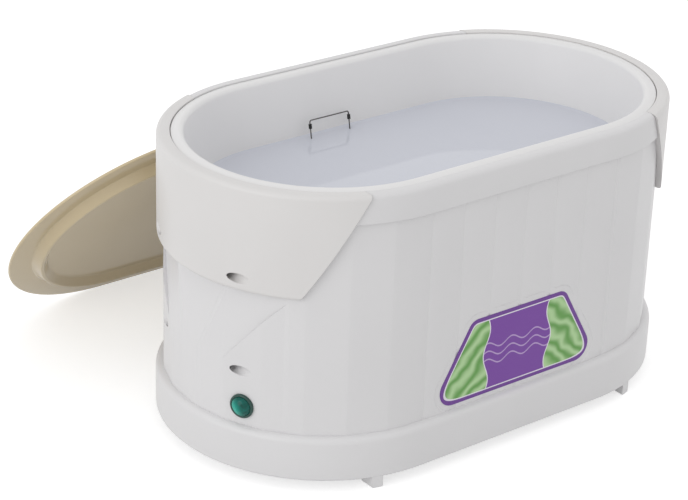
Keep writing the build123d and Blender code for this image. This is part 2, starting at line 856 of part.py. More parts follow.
# Grille tray: a slotted plate on short feet that stands clear of the tank floor
def make_grille():
    tray = block(grille_radius, grille_low, grille_low + grille_thickness)
    reach = end_x + grille_radius - grille_rim
    count = int(reach / slot_pitch)
    for step in range(-count, count + 1):
        x = step * slot_pitch
        past_end = max(0, abs(x) + slot_width / 2 - end_x)
        half = sqrt(max(0, (grille_radius - grille_rim) ** 2 - past_end**2))
        if half > slot_width:
            for side in (-1, 1):
                slot_y = side * (half + slot_rib / 2) / 2
                slot = Box(slot_width, half - slot_rib / 2, 3 * grille_thickness)
                tray -= slot.moved(Location((x, slot_y, grille_low)))
    for x in (-end_x, end_x):
        for y in (-grille_radius / 2, grille_radius / 2):
            foot = hanging_box(slot_width, grille_foot, grille_clearance)
            tray += foot.moved(Location((x + copysign(slot_pitch / 2, -x), y, grille_low + touch_gap)))
    return tray


# Points of a handle's wire on one side, as (distance behind the middle, height) pairs
def handle_points():
    foot = grille_low + grille_thickness + fit_gap
    step = (handle_foot_y + handle_step_out, foot + handle_step_up)
    return [(handle_foot_y, foot), step, (handle_top_y, handle_top)]


# Two wire handles that rise from the tray along the tank's wall, back and front
def make_handles():
    side = handle_points()
    left = [(handle_centre - handle_half, y, z) for y, z in side]
    right = [(handle_centre + handle_half, y, z) for y, z in reversed(side)]
    wire = bent_rod(left + right, wire_radius)
    return Compound(children=[wire, wire.mirror(Plane.XZ)])


# Ferrules crimped on the four uprights, a little below the bar
def make_ferrules():
    _, low, high = handle_points()
    run = Vector(0, high[0] - low[0], high[1] - low[1]).normalized()
    sleeves = []
    for x in (handle_centre - handle_half, handle_centre + handle_half):
        centre = Vector(x, high[0], high[1]) - run * ferrule_drop
        place = Plane(origin=centre, z_dir=run, x_dir=(1, 0, 0))
        tube = rod(ferrule_radius, ferrule_length, wire_flat_count)
        tube -= rod(wire_radius + fit_gap, ferrule_length, wire_flat_count)
        tube = tube.moved(Location((0, 0, -ferrule_length / 2)))
        sleeves.append(place * tube)
        sleeves.append((place * tube).mirror(Plane.XZ))
    return Compound(children=sleeves)


# Lid: a thin moulded sheet whose ring, proud on the underside, drops into the tank's mouth
def make_lid():
    top_lip = lid_ring_radius - lid_lip_step
    groove = (lid_crest_outside + lid_crest_inside) / 2
    middle = lid_panel_radius / 2
    lid = around(
        [
            (middle, -lid_panel_depth),
            (lid_panel_radius, -lid_panel_depth),
            (lid_crest_inside, -lid_ring_depth),
            (lid_crest_outside, -lid_ring_depth),
            (lid_ring_radius, 0),
            (lid_radius, 0),
            (lid_radius, lid_thickness),
            (top_lip, lid_thickness),
            (groove, lid_thickness - lid_ring_depth),
            (lid_panel_radius + lid_panel_step, lid_thickness - lid_panel_depth),
            (middle, lid_thickness - lid_panel_depth),
        ],
        [0] * 11,
    )
    lid += block(middle, -lid_panel_depth, lid_thickness - lid_panel_depth)
    tilt = radians(lid_tilt)
    centre_y = wall_radius + lean_gap + lid_radius * cos(tilt)
    return lid.rotate(Axis.X, -lid_tilt).moved(Location((lid_x, centre_y, lid_radius * sin(tilt))))


seal_section = [
    (seal_inside, ledge_top),
    (flange_radius, ledge_top),
    (flange_radius, seal_top),
    (seal_inside, seal_top),
]
right_collar = make_collar()
nodes = {
    "housing_shell": make_housing(),
    "base_pan": make_base(),
    "right_collar": right_collar,
    "left_collar": other_end(right_collar),
    "tank": make_tank(),
    "rim_seal": around(seal_section, [0] * 4),
    "heater_band": wrap(heater_low, heater_high, fit_gap, heater_thickness),
    "heater_strap": make_strap(),
    "insulation_blanket": make_blanket(),
    "thermostat": make_thermostat(),
    "thermostat_bracket": make_bracket(),
    "thermal_cutoff": make_cutoff(),
    "earth_stud": make_earth(),
    "terminal_block": make_terminals(),
    "wiring": make_wiring(),
    "pilot_body": make_lamp_body(),
    "pilot_lens": make_lens(),
    "pilot_clip": make_clip(),
    "power_inlet": make_inlet(),
    "inlet_pins": make_pins(),
    "collar_screws": make_screws(collar_bore_x, collar_bore_height),
    "base_screws": make_screws(base_bore_x, base_bore_height),
    "front_label": label_plate(0, touch_gap - label_recess, touch_gap - label_recess + label_thickness),
    "grille_tray": make_grille(),
    "grille_handles": make_handles(),
    "handle_ferrules": make_ferrules(),
    "lid": make_lid(),
}

os.makedirs("parts", exist_ok=True)
for name, shape in nodes.items():
    export_step(shape, f"parts/{name}.step")
    print(name, len(shape.solids()), round(shape.volume))
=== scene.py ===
from math import atan2, cos, exp, pi, radians, sin, sqrt, tan
import json
import bmesh
import bpy
from mathutils import Matrix, Vector

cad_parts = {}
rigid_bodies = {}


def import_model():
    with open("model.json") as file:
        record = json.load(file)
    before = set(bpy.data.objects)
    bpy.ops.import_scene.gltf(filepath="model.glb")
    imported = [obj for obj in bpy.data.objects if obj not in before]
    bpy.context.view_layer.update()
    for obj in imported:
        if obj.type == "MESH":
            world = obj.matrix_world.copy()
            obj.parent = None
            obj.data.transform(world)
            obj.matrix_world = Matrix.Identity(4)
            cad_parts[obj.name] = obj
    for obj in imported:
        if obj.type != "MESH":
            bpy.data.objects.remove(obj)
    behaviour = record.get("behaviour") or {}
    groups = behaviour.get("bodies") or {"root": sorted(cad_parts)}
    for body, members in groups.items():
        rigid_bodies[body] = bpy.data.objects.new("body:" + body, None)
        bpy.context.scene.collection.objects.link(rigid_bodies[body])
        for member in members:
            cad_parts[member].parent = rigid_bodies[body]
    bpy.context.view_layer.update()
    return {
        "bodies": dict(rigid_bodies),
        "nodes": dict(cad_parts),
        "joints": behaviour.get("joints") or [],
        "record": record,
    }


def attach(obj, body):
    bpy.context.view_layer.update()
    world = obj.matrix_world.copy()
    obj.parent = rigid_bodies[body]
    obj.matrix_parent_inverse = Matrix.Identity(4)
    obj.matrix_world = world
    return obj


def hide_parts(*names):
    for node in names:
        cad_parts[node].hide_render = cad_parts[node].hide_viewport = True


# A paraffin bath with its lid leaning behind it. Sizes are written in millimetres and every
# mesh is built in metres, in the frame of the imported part. The pilot lamp is at the -X end.
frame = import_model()
scene = bpy.context.scene
mm = 0.001
print("frame loaded:", len(frame["nodes"]), "nodes")

# Shared sizes: the ends are round about (endX, 0) and (-endX, 0)
bath = {
    "endX": 84.0,
    "rimRadius": 116.0,
    "height": 220.0,
    "wallRadius": 114.0,
    "wall": 3.0,
    "endSteps": 72,  # a loop's points round one end
    "sideSteps": 12,  # and along one side
}
endX = bath["endX"]
top = bath["height"]


# Mesh helpers

def newPiece(name, mesh):
    piece = bpy.data.objects.new(name, mesh)
    scene.collection.objects.link(piece)
    return piece


def fromMesh(name, bm):
    bmesh.ops.remove_doubles(bm, verts=bm.verts, dist=1e-7)
    bmesh.ops.recalc_face_normals(bm, faces=bm.faces)
    mesh = bpy.data.meshes.new(name)
    bm.to_mesh(mesh)
    bm.free()
    return newPiece(name, mesh)


def skin(name, loops, ring=False):  # joins loops of points one after the other, and caps the two ends
    bm = bmesh.new()
    rows = [[bm.verts.new(Vector(point) * mm) for point in loop] for loop in loops]
    pairs = list(zip(rows, rows[1:]))
    if ring:
        pairs.append((rows[-1], rows[0]))
    else:
        bm.faces.new(rows[0])
        bm.faces.new(rows[-1])
    for low, high in pairs:
        for index in range(len(low)):
            after = (index + 1) % len(low)
            bm.faces.new((low[index], low[after], high[after], high[index]))
    return fromMesh(name, bm)


def roundEnds(radius, height):  # one loop round the bath, this far from the ends' centres
    loop = []
    for turn in (1, -1):
        for step in range(bath["sideSteps"]):
            along = -endX + 2 * endX * step / bath["sideSteps"]
            loop.append((turn * along, -turn * radius, height))
        for step in range(bath["endSteps"]):
            angle = -pi / 2 + pi * step / bath["endSteps"]
            loop.append((turn * (endX + radius * cos(angle)), turn * radius * sin(angle), height))
    return loop


def rounded(points, radii, steps=6):  # corners of an outline, each with its radius cut into steps
    outline = []
    corners = [Vector(point) for point in points]
    for index, radius in enumerate(radii):
        corner = corners[index]
        if not radius:
            outline.append(tuple(corner))
            continue
        before = (corners[index - 1] - corner).normalized()
        after = (corners[(index + 1) % len(corners)] - corner).normalized()
        half = before.angle(after) / 2
        centre = corner + (before + after).normalized() * (radius / sin(half))
        start = corner + before * (radius / tan(half)) - centre
        stop = corner + after * (radius / tan(half)) - centre
        turn = atan2(start.x * stop.y - start.y * stop.x, start.dot(stop))
        for step in range(steps + 1):
            angle = turn * step / steps
            x = start.x * cos(angle) - start.y * sin(angle)
            y = start.x * sin(angle) + start.y * cos(angle)
            outline.append((centre.x + x, centre.y + y))
    return outline


def around(name, points, radii, ring=True, steps=6):  # a section carried round the bath
    return skin(name, [roundEnds(r, z) for r, z in rounded(points, radii, steps)], ring)


def turned(name, section, centre, out, steps=48):  # a section of (radius, height) turned about an axis
    out = Vector(out).normalized()
    side = out.orthogonal().normalized()
    other = out.cross(side)
    loops = []
    for radius, height in section:
        middle = Vector(centre) + out * height
        angles = [2 * pi * step / steps for step in range(steps)]
        loops.append([middle + (side * cos(a) + other * sin(a)) * radius for a in angles])
    return skin(name, loops)


def alongX(name, outline, distances):  # an outline in Y and Z, set at distances from the +X end's centre
    return skin(name, [[(endX + x, y, z) for y, z in outline] for x in distances])


def roundRect(width, height, radius, centre=0.0, steps=6):
    half, low, high = width / 2, centre - height / 2, centre + height / 2
    return rounded([(-half, low), (half, low), (half, high), (-half, high)], [radius] * 4, steps)


def flatten(piece):  # turns the evaluated object into a plain mesh and drops its modifiers
    graph = bpy.context.evaluated_depsgraph_get()
    mesh = bpy.data.meshes.new_from_object(piece.evaluated_get(graph))
    piece.modifiers.clear()
    piece.data = mesh
    return piece


def combine(piece, tool, how):
    step = piece.modifiers.new("combine", "BOOLEAN")
    step.object = tool
    step.operation = how
    step.solver = "MANIFOLD"
    flatten(piece)
    bpy.data.objects.remove(tool)
    return piece


def fitAgainst(piece, neighbour):  # cuts a piece so that it meets its neighbour face to face
    return combine(piece, newPiece("neighbour", neighbour.data.copy()), "DIFFERENCE")


def otherEnd(piece):  # a copy turned half way round the bath
    mesh = piece.data.copy()
    mesh.transform(Matrix.Rotation(pi, 4, "Z"))
    return newPiece(piece.name + ".turned", mesh)


def finishPiece(piece, name, material, angle=28):
    piece.name = name
    piece.data.name = name
    piece.data.materials.clear()
    piece.data.materials.append(material)
    for face in piece.data.polygons:
        face.material_index = 0
        face.use_smooth = True
    piece.data.set_sharp_from_angle(angle=radians(angle))
    return piece


# Node helpers, for materials and for Geometry Nodes

def setInputs(node, inputs):  # each is a value, a socket, or a node for its first output in use
    for key, value in inputs.items():
        if isinstance(value, bpy.types.Node):
            value = next(socket for socket in value.outputs if socket.enabled)
        if isinstance(value, bpy.types.NodeSocket):
            node.id_data.links.new(value, node.inputs[key])
        else:
            node.inputs[key].default_value = value


def addNode(tree, kind, settings=None, inputs=None):
    made = tree.nodes.new(kind)
    for key, value in (settings or {}).items():
        setattr(made, key, value)
    setInputs(made, inputs or {})
    return made


def colour(code):  # an sRGB hex value as linear red, green, blue, alpha
    parts = [int(code[index:index + 2], 16) / 255 for index in (0, 2, 4)]
    linear = [part / 12.92 if part <= 0.04045 else ((part + 0.055) / 1.055) ** 2.4 for part in parts]
    return linear + [1.0]


def perMetre(size):  # texture scale for a feature of that many millimetres
    return 1 / (size * mm)


def newMaterial(name):
    material = bpy.data.materials.new(name)
    material.use_nodes = True
    tree = material.node_tree
    tree.nodes.clear()
    shader = addNode(tree, "ShaderNodeBsdfPrincipled")
    addNode(tree, "ShaderNodeOutputMaterial", inputs={"Surface": shader})
    place = addNode(tree, "ShaderNodeTexCoord").outputs["Object"]
    return material, tree, shader, place


# Moulded plastic: a slow drift of shade from the melt, a fine pebble on the skin, soft edges.
# The pebble of a real mould is about 0.2 mm, so it is drawn two to eight times as coarse to show.
def mouldedPlastic(name, look):
    material, tree, shader, place = newMaterial(name)
    drift = addNode(tree, "ShaderNodeTexNoise", inputs={
        "Vector": place, "Scale": perMetre(look["driftSize"]), "Detail": 3.0})
    pebble = addNode(tree, "ShaderNodeTexNoise", inputs={
        "Vector": place, "Scale": perMetre(look["pebbleSize"]), "Detail": 2.0})
    tone = addNode(tree, "ShaderNodeMix", {"data_type": "RGBA"}, {
        0: drift, 6: colour(look["colour"]), 7: colour(look["shade"])})
    low, high = look["roughness"] - 0.04, look["roughness"] + 0.04  # duller and glossier with the shade
    rough = addNode(tree, "ShaderNodeMapRange", inputs={"Value": drift, "To Min": low, "To Max": high})
    soft = addNode(tree, "ShaderNodeBevel", {"samples": 6}, {"Radius": look["edge"] * mm})
    bump = addNode(tree, "ShaderNodeBump", inputs={
        "Strength": look["pebbleStrength"], "Distance": look["pebbleDepth"] * mm,
        "Height": pebble, "Normal": soft})
    setInputs(shader, {"Base Color": tone, "Roughness": rough, "Normal": bump, "IOR": look["ior"]})
    return material


housingPlastic = mouldedPlastic("moulded white ABS of the housing", {  # satin white, wide highlights
    "colour": "e3e2e3", "shade": "dfdedf", "driftSize": 60, "pebbleSize": 0.9, "pebbleDepth": 0.02,
    "pebbleStrength": 0.25, "roughness": 0.42, "ior": 1.5, "edge": 0.5})
collarPlastic = mouldedPlastic("moulded white ABS of the collars", {  # the same resin, a touch warmer
    "colour": "e2e0df", "shade": "dedcdb", "driftSize": 45, "pebbleSize": 0.9, "pebbleDepth": 0.02,
    "pebbleStrength": 0.25, "roughness": 0.42, "ior": 1.5, "edge": 0.5})
tankEnamel = mouldedPlastic("baked satin enamel of the tank", {  # cooler and smoother than the housing
    "colour": "ecebeb", "shade": "e9e8e8", "driftSize": 70, "pebbleSize": 1.6, "pebbleDepth": 0.015,
    "pebbleStrength": 0.2, "roughness": 0.34, "ior": 1.5, "edge": 0.4})
lidPlastic = mouldedPlastic("vacuum formed tan plastic of the lid", {  # glossy, catches the light
    "colour": "d3c2a0", "shade": "cdbc99", "driftSize": 50, "pebbleSize": 1.2, "pebbleDepth": 0.01,
    "pebbleStrength": 0.08, "roughness": 0.13, "ior": 1.5, "edge": 0.4})
darkPhenolic = mouldedPlastic("dark moulded phenolic", {  # near black, with a dull sheen
    "colour": "1c1b1a", "shade": "242220", "driftSize": 8, "pebbleSize": 0.5, "pebbleDepth": 0.02,
    "pebbleStrength": 0.3, "roughness": 0.4, "ior": 1.55, "edge": 0.3})
greyNylon = mouldedPlastic("grey moulded nylon", {  # waxy light grey
    "colour": "b9b8b2", "shade": "aeada7", "driftSize": 10, "pebbleSize": 0.6, "pebbleDepth": 0.02,
    "pebbleStrength": 0.3, "roughness": 0.45, "ior": 1.53, "edge": 0.3})
heaterSilicone = mouldedPlastic("silicone rubber of the heater", {  # brick red, matt
    "colour": "b0562f", "shade": "a34d29", "driftSize": 12, "pebbleSize": 0.7, "pebbleDepth": 0.03,
    "pebbleStrength": 0.4, "roughness": 0.6, "ior": 1.41, "edge": 0.3})
paleSilicone = mouldedPlastic("extruded silicone of the seal", {  # soft matt grey
    "colour": "c9c4bb", "shade": "bdb8ae", "driftSize": 12, "pebbleSize": 0.7, "pebbleDepth": 0.03,
    "pebbleStrength": 0.4, "roughness": 0.6, "ior": 1.41, "edge": 0.3})
leadVinyl = mouldedPlastic("extruded vinyl of the leads", {  # dull red insulation
    "colour": "8a3a30", "shade": "7d332a", "driftSize": 6, "pebbleSize": 0.5, "pebbleDepth": 0.01,
    "pebbleStrength": 0.3, "roughness": 0.5, "ior": 1.52, "edge": 0.2})
glassWool = mouldedPlastic("pressed glass wool", {  # matt yellow fibre mat
    "colour": "cfc189", "shade": "a99b66", "driftSize": 2.5, "pebbleSize": 0.8, "pebbleDepth": 0.4,
    "pebbleStrength": 0.9, "roughness": 0.9, "ior": 1.5, "edge": 1.0})
cutoffCeramic = mouldedPlastic("glazed ceramic of the cut-off", {  # hard off-white glaze
    "colour": "ddd8cc", "shade": "d2ccbf", "driftSize": 5, "pebbleSize": 0.8, "pebbleDepth": 0.01,
    "pebbleStrength": 0.3, "roughness": 0.25, "ior": 1.55, "edge": 0.3})
grillePlastic = mouldedPlastic("moulded white polypropylene of the grille", {  # waxy white
    "colour": "dcdad6", "shade": "d4d2cd", "driftSize": 25, "pebbleSize": 0.8, "pebbleDepth": 0.02,
    "pebbleStrength": 0.3, "roughness": 0.5, "ior": 1.49, "edge": 0.5})
ferruleBlack = mouldedPlastic("blackened crimp sleeve", {  # dark oxide with a little sheen
    "colour": "0f0f10", "shade": "19191a", "driftSize": 2, "pebbleSize": 0.4, "pebbleDepth": 0.01,
    "pebbleStrength": 0.3, "roughness": 0.35, "ior": 1.5, "edge": 0.2})
bezelBlack = mouldedPlastic("dark nylon bezel of the lamp", {  # dark green-black ring round the lens
    "colour": "16463d", "shade": "103a33", "driftSize": 4, "pebbleSize": 0.4, "pebbleDepth": 0.01,
    "pebbleStrength": 0.3, "roughness": 0.3, "ior": 1.53, "edge": 0.3})


# Drawn or rolled metal: fine scratches along one direction and a little tarnish.
# Real scratches are under 0.1 mm wide, so they are drawn three to five times as coarse to show.
def workedMetal(name, look):
    material, tree, shader, place = newMaterial(name)
    stretched = addNode(tree, "ShaderNodeMapping", inputs={"Vector": place, "Scale": look["stretch"]})
    lines = addNode(tree, "ShaderNodeTexNoise", inputs={
        "Vector": stretched, "Scale": perMetre(look["lineSize"]), "Detail": 2.0})
    tone = addNode(tree, "ShaderNodeMix", {"data_type": "RGBA"}, {
        0: lines, 6: colour(look["colour"]), 7: colour(look["shade"])})
    low, high = look["roughness"] - 0.06, look["roughness"] + 0.08  # duller along a scratch
    rough = addNode(tree, "ShaderNodeMapRange", inputs={"Value": lines, "To Min": low, "To Max": high})
    bump = addNode(tree, "ShaderNodeBump", inputs={
        "Strength": 0.2, "Distance": 0.01 * mm, "Height": lines})
    setInputs(shader, {"Base Color": tone, "Roughness": rough, "Normal": bump, "Metallic": 1.0})
    return material


zincSteel = workedMetal("zinc plated steel", {  # bright grey with a slight brush
    "colour": "b5b7ba", "shade": "9c9ea2", "lineSize": 0.5, "stretch": (1, 1, 6), "roughness": 0.32})
blackZinc = workedMetal("blackened zinc of the screws", {  # dark grey, only a faint sheen
    "colour": "5c5d60", "shade": "4b4c4f", "lineSize": 0.4, "stretch": (1, 1, 6), "roughness": 0.4})
turnedBrass = workedMetal("turned brass", {  # warm yellow with rings of the lathe
    "colour": "c9a75a", "shade": "b08f45", "lineSize": 0.4, "stretch": (1, 1, 6), "roughness": 0.28})
nickelPlate = workedMetal("nickel plated brass", {  # slightly warm mirror
    "colour": "c4c0b6", "shade": "aeaa9f", "lineSize": 0.4, "stretch": (6, 1, 1), "roughness": 0.22})
# painted reflection: the wire's colour is darkened to stand in for its dark mirror image of the wax
handleSteel = workedMetal("drawn stainless wire", {  # dark against the tank because it mirrors the wax
    "colour": "6d6b6a", "shade": "565453", "lineSize": 0.3, "stretch": (1, 1, 0.2), "roughness": 0.3})


# Molten paraffin: a still, glossy, milky blue-grey surface
def moltenWax(name, look):
    material, tree, shader, place = newMaterial(name)
    cloud = addNode(tree, "ShaderNodeTexNoise", inputs={
        "Vector": place, "Scale": perMetre(look["cloudSize"]), "Detail": 3.0})
    swell = addNode(tree, "ShaderNodeTexNoise", inputs={
        "Vector": place, "Scale": perMetre(look["swellSize"]), "Detail": 1.0})
    tone = addNode(tree, "ShaderNodeMix", {"data_type": "RGBA"}, {
        0: cloud, 6: colour(look["colour"]), 7: colour(look["shade"])})
    bump = addNode(tree, "ShaderNodeBump", inputs={
        "Strength": look["swellStrength"], "Distance": look["swellDepth"] * mm, "Height": swell})
    setInputs(shader, {
        "Base Color": tone, "Roughness": look["roughness"], "Normal": bump, "IOR": look["ior"]})
    return material


waxLiquid = moltenWax("molten paraffin", {
    "colour": "d6d8e1", "shade": "d2d5df", "cloudSize": 90, "swellSize": 70, "swellDepth": 0.15,
    "swellStrength": 0.5, "roughness": 0.03, "ior": 1.43})


# Lens of the lamp: tinted acrylic, with a painted pool of light where light gathers and painted shade
# elsewhere
def tintedLens(name, look):
    material, tree, shader, place = newMaterial(name)
    prisms = addNode(tree, "ShaderNodeTexVoronoi", {"feature": "F1"}, {
        "Vector": place, "Scale": perMetre(look["prismSize"])})
    # painted light: the base colour is bright near one spot on the lens and painted shade away from it
    away = addNode(tree, "ShaderNodeVectorMath", {"operation": "DISTANCE"}, {
        0: place, 1: [value * mm for value in look["paintedLightPlace"]]})
    share = addNode(tree, "ShaderNodeMapRange", {"interpolation_type": "SMOOTHSTEP"}, {
        "Value": away, "From Min": look["paintedLightFrom"] * mm, "From Max": look["paintedLightTo"] * mm})
    body = addNode(tree, "ShaderNodeMix", {"data_type": "RGBA"}, {
        0: share, 6: colour(look["lit"]), 7: colour(look["dark"])})
    faint = addNode(tree, "ShaderNodeMath", {"operation": "MULTIPLY"}, {0: prisms, 1: look["prismShare"]})
    tone = addNode(tree, "ShaderNodeMix", {"data_type": "RGBA"}, {
        0: faint, 6: body, 7: colour(look["shade"])})
    bump = addNode(tree, "ShaderNodeBump", inputs={
        "Strength": look["prismStrength"], "Distance": look["prismDepth"] * mm, "Height": prisms})
    setInputs(shader, {
        "Base Color": tone, "Roughness": look["roughness"], "Normal": bump, "IOR": look["ior"],
        "Specular IOR Level": look["specular"]})
    return material


lampAcrylic = tintedLens("tinted acrylic of the lens", {
    "prismSize": 2.4, "prismDepth": 0.3, "prismStrength": 0.6, "prismShare": 0.4,
    # the painted pool of light: its centre and reach, then its lit colour and its painted shade colour
    "paintedLightPlace": (-190.5, -44.0, 52.5), "paintedLightFrom": 1.5, "paintedLightTo": 10.0,
    "lit": "14bfa8", "dark": "05443a", "shade": "0c8a80",
    "roughness": 0.15, "ior": 1.49, "specular": 0.25})


# Printed label: a purple field inside a white line, pale ripples in its middle, leafy green flanks
def printedLabel(name, look):
    material, tree, shader, place = newMaterial(name)
    metric = addNode(tree, "ShaderNodeVectorMath", {"operation": "SCALE"}, {0: place, "Scale": 1 / mm})
    axes = addNode(tree, "ShaderNodeSeparateXYZ", inputs={0: metric})
    drift = addNode(tree, "ShaderNodeTexNoise", inputs={
        "Vector": place, "Scale": perMetre(look["leafSize"]), "Detail": 1.0})
    tall = look["high"] - look["low"]
    lean = (look["halfLow"] - look["halfHigh"]) / tall
    found = {"x": axes.outputs["X"], "z": axes.outputs["Z"], "drift": drift}
    steps = (  # (result, operation, then numbers and earlier results)
        ("along", "SUBTRACT", "x", look["centre"]),
        ("across", "ABSOLUTE", "along"),
        ("rise", "SUBTRACT", "z", look["low"]),
        ("leaning", "MULTIPLY_ADD", "rise", lean, "across"),
        ("beside", "SUBTRACT", look["halfLow"], "leaning"),
        ("fromSide", "MULTIPLY", "beside", 1 / sqrt(1 + lean ** 2)),
        ("fromTop", "SUBTRACT", tall, "rise"),
        ("fromLow", "SMOOTH_MIN", "rise", "fromSide", look["softLow"]),
        ("fromEdge", "SMOOTH_MIN", "fromTop", "fromLow", look["softHigh"]),
        ("swayTurn", "MULTIPLY", "rise", 2 * pi / look["swayLength"]),
        ("swayed", "SINE", "swayTurn"),
        ("flank", "MULTIPLY_ADD", "swayed", look["sway"], "across"),
        ("diagonal", "ADD", "across", "rise"),
        ("slope", "MULTIPLY", "diagonal", 2 * pi / look["leafPitch"]),
        ("leafTurn", "MULTIPLY_ADD", "drift", look["leafTwist"], "slope"),
        ("leafWave", "SINE", "leafTurn"),
        ("leaves", "MULTIPLY_ADD", "leafWave", 0.5, 0.5),
        ("rippleTurn", "MULTIPLY", "along", 2 * pi / look["rippleLength"]),
        ("rippleWave", "SINE", "rippleTurn"),
        ("lifted", "SUBTRACT", "rise", look["rippleRise"]),
        ("shifted", "MULTIPLY_ADD", "rippleWave", look["ripple"], "lifted"),
        ("folded", "PINGPONG", "shifted", look["ripplePitch"] / 2),
        ("crest", "LESS_THAN", "folded", look["rippleThin"]),
        ("offMiddle", "ABSOLUTE", "shifted"),
        ("near", "LESS_THAN", "offMiddle", look["rippleReach"]),
        ("ripples", "MULTIPLY", "crest", "near"),
        ("flanks", "GREATER_THAN", "flank", look["flankFrom"]),
        ("flankLine", "COMPARE", "flank", look["flankFrom"], look["line"]),
        ("border", "LESS_THAN", "fromEdge", look["inset"]),
        ("insetLine", "COMPARE", "fromEdge", look["inset"], look["line"]),
    )
    for result, operation, *values in steps:
        found[result] = addNode(tree, "ShaderNodeMath", {"operation": operation}, {
            index: found.get(value, value) for index, value in enumerate(values)})
    greens = addNode(tree, "ShaderNodeMix", {"data_type": "RGBA"}, {
        0: found["leaves"], 6: colour(look["deepGreen"]), 7: colour(look["paleGreen"])})
    white = colour(look["white"])
    layers = (
        ("ripples", colour(look["pale"])), ("flanks", greens), ("flankLine", white),
        ("border", colour(look["border"])), ("insetLine", white))
    field = colour(look["purple"])
    for share, tone in layers:
        field = addNode(tree, "ShaderNodeMix", {"data_type": "RGBA"}, {0: found[share], 6: field, 7: tone})
    setInputs(shader, {
        "Base Color": field, "Roughness": look["roughness"],
        "Coat Weight": look["coat"], "Coat Roughness": look["coatRoughness"]})
    return material


labelPrint = printedLabel("printed vinyl of the label", {
    "centre": 4.0, "low": 44.5, "high": 106.0, "halfLow": 78.5, "halfHigh": 43.0,
    "inset": 3.4, "line": 0.45, "softLow": 26.0, "softHigh": 5.0,
    "sway": 2.6, "swayLength": 40.0, "flankFrom": 29.0,
    "leafSize": 18.0, "leafTwist": 11.0, "leafPitch": 15.0,
    "rippleRise": 30.7, "ripple": 2.4, "rippleLength": 22.0, "ripplePitch": 6.4, "rippleThin": 0.55,
    "rippleReach": 10.2,
    "purple": "72309e", "border": "672a90", "pale": "b99dce", "white": "e6e2ea",
    "deepGreen": "5c9c40", "paleGreen": "b2d79c",
    "roughness": 0.3, "coat": 0.1, "coatRoughness": 0.1})
print("materials made")


# Housing: flat panels with a soft hollow at each meeting, cut by seats, scoops, bores and the recess
housing = {
    "sidePanels": 6,
    "endPanels": 12,
    "panelShift": 4.4,
    "fromEdge": (0.3, 0.7, 1.2, 1.9, 2.8, 4.0, 5.6, 7.8, 10.6),  # points from each end of a panel
    "grooveDepth": 0.12,
    "grooveReach": 1.4,
    "shoulderDepth": 1.15,
    "shoulderReach": 5.0,
    "softSide": 0.8,
    "endFrom": 6.4,
    "endShare": 0.25,  # how much of the hollow is left round the ends
    "bottom": 14.0,
    "wallTop": 205.0,
    "bandInside": 112.4,
    "bandBottom": 199.0,
    "ledgeTop": 217.0,
    "ledgeThickness": 3.0,
    "ledgeInside": 101.5,
    "rimInside": 108.3,
    "bandEdges": (0, 0.5, 3.5, 0.4, 0.3, 0, 0, 0),  # radius at each corner of the band's section
}


def panelCorners(radius):  # the panels meet a little further round than the straight sides end
    corners = []
    shift = housing["panelShift"]
    for turn in (1, -1):
        for step in range(housing["sidePanels"]):
            along = -endX + 2 * endX * step / housing["sidePanels"] + shift
            corners.append((Vector((turn * along, -turn * radius)), Vector((0, -turn))))
        for step in range(housing["endPanels"]):
            angle = -pi / 2 + pi * step / housing["endPanels"] + shift / bath["wallRadius"]
            out = Vector((turn * cos(angle), turn * sin(angle)))
            corners.append((Vector((turn * endX, 0)) + out * radius, out))
    return corners


def panelledWall():
    corners = panelCorners(bath["wallRadius"])
    points = []  # (place in plan, direction out, distance from the nearest meeting of panels)
    for index, (start, out) in enumerate(corners):
        stop = corners[(index + 1) % len(corners)][0]
        along = stop - start
        width = along.length
        along.normalize()
        face = Vector((along.y, -along.x))
        points.append((start, out, 0.0))
        inner = [gap for gap in housing["fromEdge"] if gap < width / 2]
        for gap in inner + [width / 2] + [width - gap for gap in reversed(inner)]:
            points.append((start + along * gap, face, min(gap, (width - gap) * housing["softSide"])))
    bm = bmesh.new()
    distance = bm.verts.layers.float.new("fromMeeting")
    outward = bm.verts.layers.float_vector.new("outward")
    rows = []
    low, high = housing["bottom"], housing["wallTop"]
    for depth, height in ((0, low), (0, high), (bath["wall"], high), (bath["wall"], low)):
        row = []
        for place, out, gap in points:
            spot = place - out * depth
            vert = bm.verts.new((spot.x * mm, spot.y * mm, height * mm))
            share = housing["endShare"] if abs(place.x) > endX + housing["endFrom"] else 1.0
            vert[distance] = gap
            vert[outward] = (out.x * share, out.y * share, 0.0) if depth == 0 else (0.0, 0.0, 0.0)
            row.append(vert)
        rows.append(row)
    for low, high in zip(rows, rows[1:] + rows[:1]):
        for index in range(len(points)):
            after = (index + 1) % len(points)
            bm.faces.new((low[index], low[after], high[after], high[index]))
    bmesh.ops.recalc_face_normals(bm, faces=bm.faces)
    mesh = bpy.data.meshes.new("panelledWall")
    bm.to_mesh(mesh)
    bm.free()
    return newPiece("panelledWall", mesh)


def newTree(name, sizes):  # a Geometry Nodes tree with one geometry in and out, and named sizes
    tree = bpy.data.node_groups.new(name, "GeometryNodeTree")
    tree.interface.new_socket("Geometry", in_out="INPUT", socket_type="NodeSocketGeometry")
    for label, kind in sizes:
        tree.interface.new_socket(label, in_out="INPUT", socket_type=kind)
    tree.interface.new_socket("Geometry", in_out="OUTPUT", socket_type="NodeSocketGeometry")
    return tree, addNode(tree, "NodeGroupInput"), addNode(tree, "NodeGroupOutput")


def giveTree(piece, tree, values):
    step = piece.modifiers.new(tree.name, "NODES")
    step.node_group = tree
    for item in tree.interface.items_tree:
        if item.item_type == "SOCKET" and item.in_out == "INPUT" and item.name in values:
            step[item.identifier] = values[item.name]


def runTree(piece, tree, values):
    giveTree(piece, tree, values)
    return flatten(piece)


def closeTree(tree, output, geometry, material):  # the end that every tree has
    whole = addNode(tree, "GeometryNodeRealizeInstances", inputs={0: geometry})
    dressed = addNode(tree, "GeometryNodeSetMaterial", inputs={"Geometry": whole, "Material": material})
    setInputs(output, {0: dressed})


